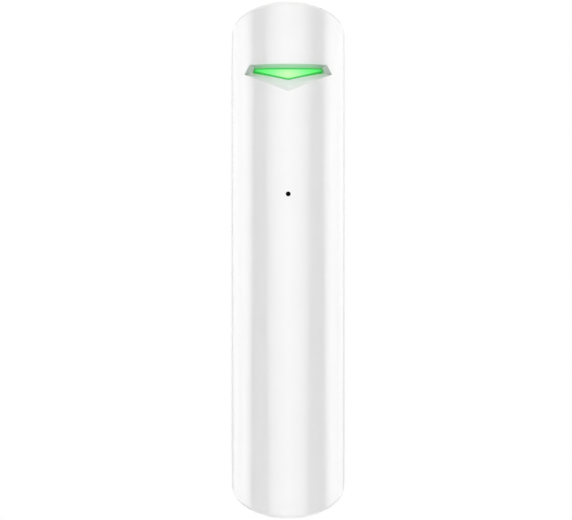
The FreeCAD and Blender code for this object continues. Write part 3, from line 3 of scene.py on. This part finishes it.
import bpy
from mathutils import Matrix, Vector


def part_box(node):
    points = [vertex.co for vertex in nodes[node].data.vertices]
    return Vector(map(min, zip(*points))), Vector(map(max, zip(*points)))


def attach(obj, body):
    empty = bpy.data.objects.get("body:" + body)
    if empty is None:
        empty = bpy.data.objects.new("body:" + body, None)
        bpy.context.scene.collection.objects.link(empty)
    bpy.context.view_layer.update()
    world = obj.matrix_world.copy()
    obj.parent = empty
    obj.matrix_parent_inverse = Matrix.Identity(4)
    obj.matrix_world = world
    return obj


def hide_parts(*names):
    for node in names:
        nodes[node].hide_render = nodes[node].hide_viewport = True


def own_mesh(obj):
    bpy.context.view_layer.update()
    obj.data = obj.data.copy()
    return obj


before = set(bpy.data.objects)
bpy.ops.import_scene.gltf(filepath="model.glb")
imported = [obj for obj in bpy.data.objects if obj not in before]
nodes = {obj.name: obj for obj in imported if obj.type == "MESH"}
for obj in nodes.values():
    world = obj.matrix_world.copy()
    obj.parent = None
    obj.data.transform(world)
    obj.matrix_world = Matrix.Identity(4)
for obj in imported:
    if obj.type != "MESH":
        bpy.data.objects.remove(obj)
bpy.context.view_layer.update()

MM = 0.001
LENGTH = 90.0 * MM
DEPTH = 22.0 * MM


# Node trees

class Nodes:
    """Short calls for the node tree of a material or of the world."""

    def __init__(self, owner):
        owner.use_nodes = True
        self.tree = owner.node_tree

    def add(self, kind, **settings):
        node = self.tree.nodes.new(kind)
        for name, setting in settings.items():
            setattr(node, name, setting)
        return node

    def feed(self, socket, source):
        """A socket takes a number, a colour or another node's socket."""
        if isinstance(source, bpy.types.NodeSocket):
            self.tree.links.new(source, socket)
        elif socket.type == "RGBA":
            socket.default_value = (*source, 1.0)
        else:
            socket.default_value = source

    def place(self):
        """Position on the object in metres, the same at every pose."""
        return self.add("ShaderNodeTexCoord").outputs["Object"]

    def axes(self):
        """The three parts of that position."""
        split = self.add("ShaderNodeSeparateXYZ")
        self.feed(split.inputs[0], self.place())
        return split.outputs

    def math(self, operation, *values, clamp=False):
        node = self.add("ShaderNodeMath", operation=operation, use_clamp=clamp)
        for socket, source in zip(node.inputs, values):
            self.feed(socket, source)
        return node.outputs[0]

    def product(self, first, *others):
        for other in others:
            first = self.math("MULTIPLY", first, other)
        return first

    def away(self, value, middle):
        """How far a value is from a middle, on either side."""
        return self.math("ABSOLUTE", self.math("SUBTRACT", value, middle))

    def radius(self, first, second):
        """How far two coordinates are from their origin."""
        squares = self.math("ADD", self.product(first, first), self.product(second, second))
        return self.math("SQRT", squares)

    def spread(self, value, low, high, to_low=0.0, to_high=1.0):
        """Stretch the values between low and high over a new range, and hold them at its ends beyond."""
        node = self.add("ShaderNodeMapRange")
        for socket, source in zip(node.inputs, (value, low, high, to_low, to_high)):
            self.feed(socket, source)
        return node.outputs[0]

    def noise(self, scale, detail=3.0, roughness=0.55, stretch=(1.0, 1.0, 1.0)):
        mapping = self.add("ShaderNodeMapping")
        self.feed(mapping.inputs["Vector"], self.place())
        self.feed(mapping.inputs["Scale"], stretch)
        node = self.add("ShaderNodeTexNoise")
        self.feed(node.inputs["Vector"], mapping.outputs[0])
        self.feed(node.inputs["Scale"], scale)
        self.feed(node.inputs["Detail"], detail)
        self.feed(node.inputs["Roughness"], roughness)
        return node.outputs["Fac"]

    def ramp(self, value, stops, ease="LINEAR"):
        """Colours in steps of (position, colour)."""
        node = self.add("ShaderNodeValToRGB")
        node.color_ramp.interpolation = ease
        elements = node.color_ramp.elements
        while len(elements) < len(stops):
            elements.new(0.5)
        for element, (position, colour) in zip(elements, stops):
            element.position = position
            element.color = (*colour, 1.0)
        self.feed(node.inputs[0], value)
        return node.outputs[0]

    def tone(self, value, low, high):
        """A ramp between two greys."""
        return self.ramp(value, ((0.0, (low,) * 3), (1.0, (high,) * 3)))

    def blend(self, share, first, second, blend_type="MIX"):
        node = self.add("ShaderNodeMix", data_type="RGBA", blend_type=blend_type)
        for socket, source in ((node.inputs[0], share), (node.inputs[6], first), (node.inputs[7], second)):
            self.feed(socket, source)
        return node.outputs[2]

    def tint(self, first, second):
        """One colour times another."""
        return self.blend(1.0, first, second, blend_type="MULTIPLY")

    def mix(self, share, first, second):
        """Two shaders in one."""
        node = self.add("ShaderNodeMixShader")
        for socket, source in zip(node.inputs, (share, first, second)):
            self.feed(socket, source)
        return node.outputs[0]

    def looked_at(self):
        """1 for what the camera sees straight, mirrored or through something clear, and 0 for other light."""
        rays = self.add("ShaderNodeLightPath").outputs
        mirrored = self.math("ADD", rays["Is Glossy Ray"], rays["Is Transmission Ray"], clamp=True)
        return self.math("ADD", rays["Is Camera Ray"], mirrored, clamp=True)

    def behind(self):
        """1 on the back of a face and 0 on its front."""
        return self.add("ShaderNodeNewGeometry").outputs["Backfacing"]


class Look(Nodes):
    """A material, and short calls for its shader."""

    def __init__(self, name):
        self.material = bpy.data.materials.new(name)
        super().__init__(self.material)
        self.shader = self.tree.nodes["Principled BSDF"]
        self.surface = self.tree.nodes["Material Output"].inputs["Surface"]

    def put(self, name, source):
        self.feed(self.shader.inputs[name], source)

    def base(self):
        """What feeds the base colour so far."""
        return self.shader.inputs["Base Color"].links[0].from_socket

    def bump(self, height, strength, distance, soften=0.0):
        """Grain, and where soften is a radius, edges that catch the light as if they were rounded by it."""
        node = self.add("ShaderNodeBump")
        if soften:
            edge = self.add("ShaderNodeBevel", samples=6)
            self.feed(edge.inputs["Radius"], soften)
            self.feed(node.inputs["Normal"], edge.outputs[0])
        self.feed(node.inputs["Strength"], strength)
        self.feed(node.inputs["Distance"], distance)
        self.feed(node.inputs["Height"], height)
        self.put("Normal", node.outputs[0])


# Kinds of material

def rgb(*channels):
    """Linear colour of 8-bit screen values."""
    def linear(value):
        value /= 255.0
        return value / 12.92 if value <= 0.04045 else ((value + 0.055) / 1.055) ** 2.4
    return tuple(linear(channel) for channel in channels)


def moulded(name, colour, roughness, grain_scale, grain_depth, mottle=0.02, soften=0.0):
    """Moulded plastic: faint mottling, grain from the tool, and a few rubbed patches."""
    look = Look(name)
    dark = tuple(channel * (1.0 - mottle) for channel in colour)
    look.put("Base Color", look.blend(look.spread(look.noise(90.0, 4.0), 0.35, 0.65), dark, colour))
    rub = look.noise(34.0, 5.0, 0.6)
    look.put("Roughness", look.spread(rub, 0.3, 0.7, roughness * 1.12, roughness * 0.88))
    look.bump(look.noise(grain_scale, 2.0, 0.6), 0.35, grain_depth, soften)
    look.put("IOR", 1.5)
    return look


def metal(name, colour, roughness, stretch):
    """Bare or plated metal with drawing lines along one axis and slight tarnish."""
    look = Look(name)
    tarnish = look.noise(160.0, 4.0)
    dark = tuple(channel * 0.78 for channel in colour)
    look.put("Base Color", look.blend(look.spread(tarnish, 0.4, 0.7), colour, dark))
    look.put("Roughness", look.spread(tarnish, 0.3, 0.7, roughness * 0.8, roughness * 1.3))
    look.bump(look.noise(1200.0, 3.0, 0.6, stretch), 0.4, 0.004 * MM)
    look.put("Metallic", 1.0)
    return look


# The housing and its window

AXIS_Y = -12.18 * MM
BARREL_RADIUS = 9.82 * MM

# Heights in the recess count from WINDOW_Z. The light guide has a strip of window and a flange below it.
GUIDE_STRIP = 0.52 * MM
GUIDE_FLANGE = 0.7 * MM
WINDOW_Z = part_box("light_guide")[0].z + GUIDE_STRIP + GUIDE_FLANGE

# The window has a level top, slanted ends and a low edge in the shape of a wide V.
WINDOW_TOP = 1.45 * MM
WINDOW_LOW = -0.55 * MM
WINDOW_HALF = 6.42 * MM
LOW_SLOPE = 0.2244
END_SLOPE = 0.4286

# The recess round it, whose mouth is wider and higher. Its walls are looked for within RECESS_REACH of
# WINDOW_Z and in front of FRONT_Y.
RECESS_DEPTH = 1.9 * MM
MOUTH_TOP = 2.17 * MM
MOUTH_HALF = 7.4 * MM
RECESS_REACH = 3.2 * MM
FRONT_Y = -15.0 * MM

# Painted shade of the recess's upper and side walls, at the mouth and at the window.
TOP_SHADE = (0.66, 0.50)
SIDE_SHADE = (0.74, 0.80)
# Painted light on the low and the upper walls, green from the window on the upper ones and nearly grey on the
# low one, from the middle to the side tips, and the share of it that reaches the mouth.
LOW_GLOW = ((0.0, (0.19, 0.25, 0.21)), (0.4, (0.19, 0.23, 0.20)), (0.75, (0.22, 0.24, 0.22)),
            (1.0, (0.24, 0.24, 0.24)))
TOP_GLOW = ((0.0, (0.01, 0.25, 0.07)), (0.38, (0.01, 0.17, 0.05)), (0.7, (0.0, 0.09, 0.02)),
            (0.86, (0.0, 0.03, 0.01)), (1.0, (0.0, 0.0, 0.0)))
LOW_GLOW_AT_MOUTH = 0.08
TOP_GLOW_AT_MOUTH = 0.53

# Painted dark green shade on the side walls beside the window's ends, and painted green light from the window
# on the skin of the barrel close above the mouth.
END_SHADE = (0.10, 0.55, 0.14)
SKIN_GREEN_LIGHT = (0.93, 1.0, 0.95)
NO_TINT = (1.0, 1.0, 1.0)
SKIN_REACH = 0.7 * MM
SKIN_HALF = 7.0 * MM
SKIN_FADE = 0.8 * MM


def past_end(look, off, rise):
    """How far to the side a place is past the slanted end of the window."""
    return look.math("SUBTRACT", look.math("ADD", off, look.product(rise, END_SLOPE)), WINDOW_HALF)


def housing_look():
    """Gloss white. Shade on the walls of the recess is painted into the base colour, and light on them, green
    from the window, is painted in as emission.
    """
    look = moulded("housing_gloss_white", (0.80, 0.80, 0.80), 0.09, 900.0, 0.0012 * MM, mottle=0.006)
    x, y, z = look.axes()
    off = look.math("ABSOLUTE", x)
    rise = look.math("SUBTRACT", z, WINDOW_Z)
    depth = look.math("SUBTRACT", BARREL_RADIUS, look.radius(x, look.math("SUBTRACT", y, AXIS_Y)))
    inward = look.spread(depth, 0.1 * MM, RECESS_DEPTH)
    near = look.math("LESS_THAN", look.away(z, WINDOW_Z), RECESS_REACH)
    front = look.math("LESS_THAN", y, FRONT_Y)
    recess = look.product(look.spread(depth, 0.03 * MM, 0.12 * MM), look.product(near, front))

    split = look.add("ShaderNodeSeparateXYZ")
    look.feed(split.inputs[0], look.add("ShaderNodeNewGeometry").outputs["Normal"])
    sideways, _, upwards = split.outputs
    upper = look.spread(upwards, -0.3, -0.5)
    side = look.product(upper, look.spread(look.math("ABSOLUTE", sideways), 0.35, 0.45))

    # Painted shade on the recess walls, set by how deep they lie.
    wall = look.blend(upper, NO_TINT, look.tone(inward, *TOP_SHADE))
    wall = look.blend(side, wall, look.tone(inward, *SIDE_SHADE))
    # Painted dark green shade on the side walls right beside the window's ends.
    at_end = look.product(side, look.spread(past_end(look, off, rise), 0.03 * MM, 0.14 * MM, 1.0, 0.0))
    wall = look.tint(wall, look.blend(at_end, NO_TINT, END_SHADE))

    # Painted green light from the window on the barrel just above the mouth.
    above = look.spread(look.away(rise, MOUTH_TOP), 0.0, SKIN_REACH, 1.0, 0.0)
    above = look.product(above, look.spread(off, SKIN_HALF - SKIN_FADE, SKIN_HALF, 1.0, 0.0))
    skin = look.blend(look.product(above, front), NO_TINT, SKIN_GREEN_LIGHT)
    look.put("Base Color", look.tint(look.base(), look.blend(recess, skin, wall)))

    # Painted light on the recess walls, put in as emission.
    along = look.spread(off, 0.0, MOUTH_HALF)
    low_glow = look.tint(look.ramp(along, LOW_GLOW), look.tone(inward, LOW_GLOW_AT_MOUTH, 1.0))
    top_glow = look.tint(look.ramp(along, TOP_GLOW), look.tone(inward, TOP_GLOW_AT_MOUTH, 1.0))
    look.put("Emission Color", look.tint(look.blend(upper, low_glow, top_glow), recess))
    look.put("Emission Strength", 1.0)
    return look


def square_on(slope):
    """What turns a distance along an axis into the one square to a sloping edge."""
    return 1.0 / math.hypot(1.0, slope)


def window_look():
    """The light guide's face: pale in the middle, pure green at the ends and dark along its rim."""
    look = Look("indicator_glow")
    x, _, z = look.axes()
    off = look.math("ABSOLUTE", x)
    rise = look.math("SUBTRACT", z, WINDOW_Z)

    bright_rise = 0.42 * MM
    flatness = 2.6
    glow_half = 6.1 * MM
    rim_width = 0.3 * MM
    from_bright = look.radius(off, look.product(look.math("SUBTRACT", rise, bright_rise), flatness))
    glow = look.ramp(look.spread(from_bright, 0.0, glow_half), (
        (0.0, rgb(213, 255, 187)), (0.22, rgb(185, 255, 172)), (0.45, rgb(140, 255, 150)),
        (0.75, rgb(90, 252, 112)), (1.0, rgb(80, 224, 106))))

    below_top = look.math("SUBTRACT", WINDOW_TOP, rise)
    over_low = look.math("SUBTRACT", look.math("SUBTRACT", rise, look.product(off, LOW_SLOPE)), WINDOW_LOW)
    over_low = look.product(over_low, square_on(LOW_SLOPE))
    inside_end = look.product(past_end(look, off, rise), -square_on(END_SLOPE))
    from_rim = look.math("MINIMUM", look.math("MINIMUM", below_top, over_low), inside_end)
    dim = look.ramp(look.spread(from_rim, 0.0, rim_width), (
        (0.0, (0.06, 0.42, 0.14)), (0.45, (0.12, 0.62, 0.24)), (1.0, NO_TINT)), ease="EASE")

    look.put("Base Color", (0.03, 0.12, 0.04))
    look.put("Emission Color", look.tint(glow, dim))
    look.put("Emission Strength", 0.9)
    look.put("Roughness", 0.25)
    look.put("Specular IOR Level", 0.3)
    return look


# The pieces inside

def cell_look():
    """Shrunk sleeve with a fine seam ripple, and the bare steel cap and base at the cell's two ends."""
    look = moulded("cell_sleeve", (0.16, 0.17, 0.19), 0.3, 500.0, 0.003 * MM)
    bare_radius = 7.3 * MM
    bare_length = 4.0 * MM
    low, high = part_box("battery")
    middle = (low + high) / 2
    x, y, z = look.axes()
    radial = look.radius(x, look.math("SUBTRACT", y, middle.y))
    from_end = look.math("SUBTRACT", (high.z - low.z) / 2, look.away(z, middle.z))
    bare = look.product(look.math("LESS_THAN", radial, bare_radius),
                        look.math("LESS_THAN", from_end, bare_length))
    look.put("Base Color", look.blend(bare, look.base(), (0.62, 0.61, 0.58)))
    look.put("Metallic", bare)
    return look


def board_look():
    """Green solder mask over etched copper: a shade lighter and a little raised where a track runs."""
    look = moulded("solder_mask", (0.03, 0.17, 0.07), 0.3, 1500.0, 0.006 * MM)
    track_pitch = 0.8 * MM
    track_width = 0.24 * MM
    cells = look.add("ShaderNodeTexVoronoi", distance="CHEBYCHEV")
    look.feed(cells.inputs["Vector"], look.place())
    look.feed(cells.inputs["Scale"], 300.0)
    look.feed(cells.inputs["Randomness"], 0.8)
    pick = look.add("ShaderNodeSeparateColor")
    look.feed(pick.inputs[0], cells.outputs["Color"])
    across, bare, _ = pick.outputs
    across = look.math("GREATER_THAN", across, 0.5)
    x, _, z = look.axes()
    upright, level = (look.math("LESS_THAN", look.math("PINGPONG", place, track_pitch / 2), track_width / 2)
                      for place in (x, z))
    track = look.math("ADD", look.product(upright, across),
                      look.product(level, look.math("SUBTRACT", 1.0, across)))
    track = look.product(track, look.math("GREATER_THAN", bare, 0.3))
    look.put("Base Color", look.blend(track, look.base(), (0.05, 0.27, 0.11)))
    look.bump(track, 0.5, 0.03 * MM)
    return look


def mesh_look():
    """Black woven cloth that shows no shine through the sound hole."""
    look = moulded("mesh_fabric", (0.004, 0.004, 0.004), 0.9, 6000.0, 0.02 * MM)
    look.put("Specular IOR Level", 0.08)
    return look


# Which node wears what

EDGE = 0.12 * MM
ALONG_Y = (1.0, 12.0, 1.0)
ALONG_Z = (1.0, 1.0, 12.0)

LOOKS = {
    "front_housing": housing_look(),
    "light_guide": window_look(),
    "rear_cover": moulded("chassis_satin_white", (0.76, 0.76, 0.75), 0.42, 2600.0, 0.010 * MM, soften=EDGE),
    "wall_bracket": moulded("bracket_satin_white", (0.78, 0.78, 0.77), 0.48, 3200.0, 0.012 * MM, soften=EDGE),
    "battery": cell_look(),
    "battery_contact_positive": metal("nickel_plate", (0.66, 0.65, 0.62), 0.3, ALONG_Z),
    "main_board": board_look(),
    "microphone": metal("bright_can", (0.70, 0.70, 0.70), 0.25, ALONG_Y),
    "microphone_gasket": moulded("rubber", (0.03, 0.03, 0.03), 0.6, 2500.0, 0.006 * MM),
    "acoustic_mesh": mesh_look(),
    "indicator_led": moulded("lamp_lens", (0.85, 0.9, 0.8), 0.25, 2000.0, 0.002 * MM),
    "antenna": metal("copper_wire", (0.72, 0.40, 0.22), 0.25, ALONG_Z),
    "processor_chip": moulded("chip_epoxy", (0.03, 0.03, 0.03), 0.5, 4000.0, 0.006 * MM, soften=EDGE),
    "chip_components": moulded("component_ceramic", (0.30, 0.24, 0.17), 0.4, 3000.0, 0.004 * MM),
    "tamper_plunger": moulded("plunger_white", (0.72, 0.72, 0.70), 0.35, 1500.0, 0.004 * MM, soften=EDGE),
    "terminal_block": moulded("terminal_green", (0.04, 0.28, 0.12), 0.35, 2000.0, 0.005 * MM, soften=EDGE),
}
SAME_AS = {
    "battery_contact_negative": "battery_contact_positive",
    "radio_shield": "microphone",
    "power_switch": "microphone",
    "power_slider": "processor_chip",
    "tamper_switch": "processor_chip",
    "tamper_spring": "battery_contact_positive",
    "terminal_screws": "battery_contact_positive",
    "terminal_clamps": "battery_contact_positive",
}
for name, node in nodes.items():
    node.data.materials.clear()
    node.data.materials.append(LOOKS[SAME_AS.get(name, name)].material)


# The tamper spring

def tamper_coil():
    """The tamper spring as a fine round wire, in place of the part's own spring, which is hidden."""
    low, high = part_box("tamper_spring")
    middle = (low + high) / 2
    length = high.y - low.y
    wire = 0.15 * MM
    radius = (high.x - low.x) / 2 - wire
    turns = 3.5
    steps = 112
    curve = bpy.data.curves.new("tamper_coil_path", "CURVE")
    curve.dimensions = "3D"
    curve.bevel_depth = wire
    curve.bevel_resolution = 3
    curve.use_fill_caps = True
    line = curve.splines.new("POLY")
    line.points.add(steps)
    for step, point in enumerate(line.points):
        share = step / steps
        angle = 2 * math.pi * turns * share
        depth = low.y + wire + (length - 2 * wire) * share
        point.co = (middle.x + radius * math.cos(angle), depth, middle.z + radius * math.sin(angle), 1.0)
    path = bpy.data.objects.new("tamper_coil_path", curve)
    mesh = bpy.data.meshes.new_from_object(path)
    bpy.data.objects.remove(path)
    item = bpy.data.objects.new("tamper_coil", mesh)
    bpy.context.scene.collection.objects.link(item)
    mesh.materials.clear()
    mesh.materials.append(nodes["tamper_spring"].data.materials[0])
    for face in mesh.polygons:
        face.use_smooth = True
    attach(item, "detector")
    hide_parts("tamper_spring")
    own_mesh(item)


tamper_coil()


# Lights: glowing cards that the camera doesn't see

CAMERA_AWAY = 3.0
REACH = 0.8
# The camera's rays fan out a little, so a band on the barrel sits further out on a card.
FAN = 1.0 + REACH / (CAMERA_AWAY - DEPTH)
# Where a card mirrors two heights of the barrel. The azimuths of its edges are given at these.
LOW_MARK = -40 * MM * FAN
HIGH_MARK = 38 * MM * FAN
# A card's strength falls to LOW_SHARE of it between these two heights, counted from the card's middle.
LOW_SHARE = 0.94
FALL_FROM = 20 * MM
FALL_TO = -60 * MM


def sheet(name, corners):
    """A flat sheet with four corners."""
    mesh = bpy.data.meshes.new(name)
    mesh.from_pydata(corners, [], [(0, 1, 2, 3)])
    item = bpy.data.objects.new(name, mesh)
    bpy.context.scene.collection.objects.link(item)
    return item


def card(name, outline, levels, strength, one_sided=False):
    """A card with (across, up) corners, whose levels are (across, share of the strength) steps."""
    item = sheet(name, [(across, 0.0, up) for across, up in outline])
    look = Look(name + "_glow")
    across, _, up = look.axes()
    low, high = levels[0][0], levels[-1][0]
    level = look.ramp(look.spread(across, low, high),
                      [((at - low) / (high - low), (share,) * 3) for at, share in levels])
    power = look.spread(up, FALL_TO, FALL_FROM, strength * LOW_SHARE, strength)
    if one_sided:
        power = look.product(power, look.math("SUBTRACT", 1.0, look.behind()))
    glow = look.add("ShaderNodeEmission")
    look.feed(glow.inputs["Color"], level)
    look.feed(glow.inputs["Strength"], power)
    look.tree.nodes.remove(look.shader)
    look.feed(look.surface, glow.outputs[0])
    item.data.materials.append(look.material)
    item.visible_camera = False
    item.visible_shadow = False
    return item


def across_at(azimuth, middle):
    """How far across a panel an azimuth is, from the azimuth of its middle."""
    return math.tan(math.radians(azimuth - middle)) * REACH


def panel(name, near, far, levels, strength):
    """An upright card at REACH from the barrel's axis, facing it.

    near and far are its edges, each as an azimuth at the low and one at the high mark of the barrel, and
    levels are (azimuth, share of the strength) steps."""
    half_height = 76 * MM
    middle = (near[0] + near[1] + far[0] + far[1]) / 4
    outline = []
    for (at_low, at_high), height in ((near, -half_height), (far, -half_height),
                                      (far, half_height), (near, half_height)):
        share = (height - LOW_MARK) / (HIGH_MARK - LOW_MARK)
        outline.append((across_at(at_low + (at_high - at_low) * share, middle), height))
    steps = [(across_at(azimuth, middle), share) for azimuth, share in levels]
    item = card(name, outline, steps, strength)
    turn = math.radians(middle)
    item.location = (math.sin(turn) * REACH, AXIS_Y - math.cos(turn) * REACH, 0.0)
    item.rotation_euler = (0.0, 0.0, turn)
    return item


def level_card(name, half_width, half_depth, edge_share, strength, place, one_sided=False):
    """A card that lies level and faces up, with edge_share of its strength at its two sides."""
    outline = [(-half_width, -half_depth), (half_width, -half_depth),
               (half_width, half_depth), (-half_width, half_depth)]
    levels = [(-half_width, edge_share), (0.0, 1.0), (half_width, edge_share)]
    item = card(name, outline, levels, strength, one_sided)
    item.location = place
    item.rotation_euler = (math.radians(-90), 0.0, 0.0)


FRONT_GLOW = [(-47.0, 0.40), (-40.0, 0.52), (-23.0, 0.83), (0.0, 1.0), (23.0, 0.83), (40.0, 0.52),
              (47.0, 0.40)]
SIDE_GLOW = [(77.0, 0.45), (84.0, 0.72), (92.5, 0.89), (101.5, 0.99), (112.0, 0.80), (123.0, 0.65),
             (136.0, 0.52), (150.0, 0.36), (160.0, 0.2)]
SIDE_GLOW_LEFT = [(-azimuth, share) for azimuth, share in reversed(SIDE_GLOW)]
BACK_GLOW = [(164.0, 0.6), (180.0, 1.0), (196.0, 0.6)]

panel("soft_box_front", (-39.5, -47.0), (39.5, 47.0), FRONT_GLOW, strength=5.9)
panel("soft_box_right", (82.0, 77.0), (150.0, 160.0), SIDE_GLOW, strength=5.4)
panel("soft_box_left", (-150.0, -160.0), (-82.0, -77.0), SIDE_GLOW_LEFT, strength=5.4)

# The one behind only fills the shade on the back, so nothing mirrors it.
panel("soft_box_back", (164.0, 168.0), (196.0, 192.0), BACK_GLOW, strength=4.2).visible_glossy = False

# One above, for the upper end and the floor, and a small one under the front edge, for the rounded rim
# of the low end.
level_card("soft_box_top", 300 * MM, 250 * MM, 0.8, 3.1, (0.0, -140 * MM, 500 * MM))
level_card("soft_box_low", 14 * MM, 11 * MM, 1.0, 4.4, (0.0, -DEPTH, -86 * MM), one_sided=True)


# Room, floor and camera

def room():
    """White where it is looked at, and a faint even light on everything else."""
    white_room = bpy.data.worlds.new("white_room")
    bpy.context.scene.world = white_room
    sky = Nodes(white_room)
    sky.tree.nodes.clear()
    light, seen = sky.add("ShaderNodeBackground"), sky.add("ShaderNodeBackground")
    for background, strength in ((light, 0.19), (seen, 1.0)):
        sky.feed(background.inputs["Color"], (1.0, 1.0, 1.0))
        sky.feed(background.inputs["Strength"], strength)
    out = sky.add("ShaderNodeOutputWorld")
    sky.feed(out.inputs["Surface"], sky.mix(sky.looked_at(), light.outputs[0], seen.outputs[0]))


def floor():
    """Pale floor under the object that fades to white before its edge and doesn't show from below."""
    half, low_z = 1500 * MM, -90 * MM
    item = sheet("floor", [(-half, -half, low_z), (half, -half, low_z), (half, half, low_z),
                           (-half, half, low_z)])
    look = Look("pale_floor")
    look.put("Base Color", (0.84, 0.84, 0.84))
    look.put("Roughness", 0.8)
    length = look.add("ShaderNodeVectorMath", operation="LENGTH")
    look.feed(length.inputs[0], look.place())
    fade = look.spread(length.outputs["Value"], 120 * MM, 360 * MM)
    white = look.add("ShaderNodeEmission").outputs[0]
    clear = look.add("ShaderNodeBsdfTransparent").outputs[0]
    above = look.mix(look.product(fade, look.looked_at()), look.shader.outputs[0], white)
    look.feed(look.surface, look.mix(look.behind(), above, clear))
    item.data.materials.append(look.material)


def camera():
    """Straight from the front and far away, so that the part fills as many pixels as in the photo."""
    picture_width = 572
    outline_height = 517
    pixel = LENGTH / outline_height
    # The photo's object is this far right of the middle of its picture, and below it.
    right_by, below_by = 2.2 * pixel, 0.17 * pixel
    data = bpy.data.cameras.new("camera")
    item = bpy.data.objects.new("camera", data)
    bpy.context.scene.collection.objects.link(item)
    data.sensor_width = 36.0
    data.lens = data.sensor_width * (CAMERA_AWAY - DEPTH) / (picture_width * pixel)
    data.clip_start = 0.05
    data.clip_end = 20.0
    item.location = (-right_by, -CAMERA_AWAY, below_by)
    item.rotation_euler = (math.radians(90), 0.0, 0.0)
    bpy.context.scene.camera = item


room()
floor()
camera()
bpy.context.scene.view_settings.view_transform = "Standard"
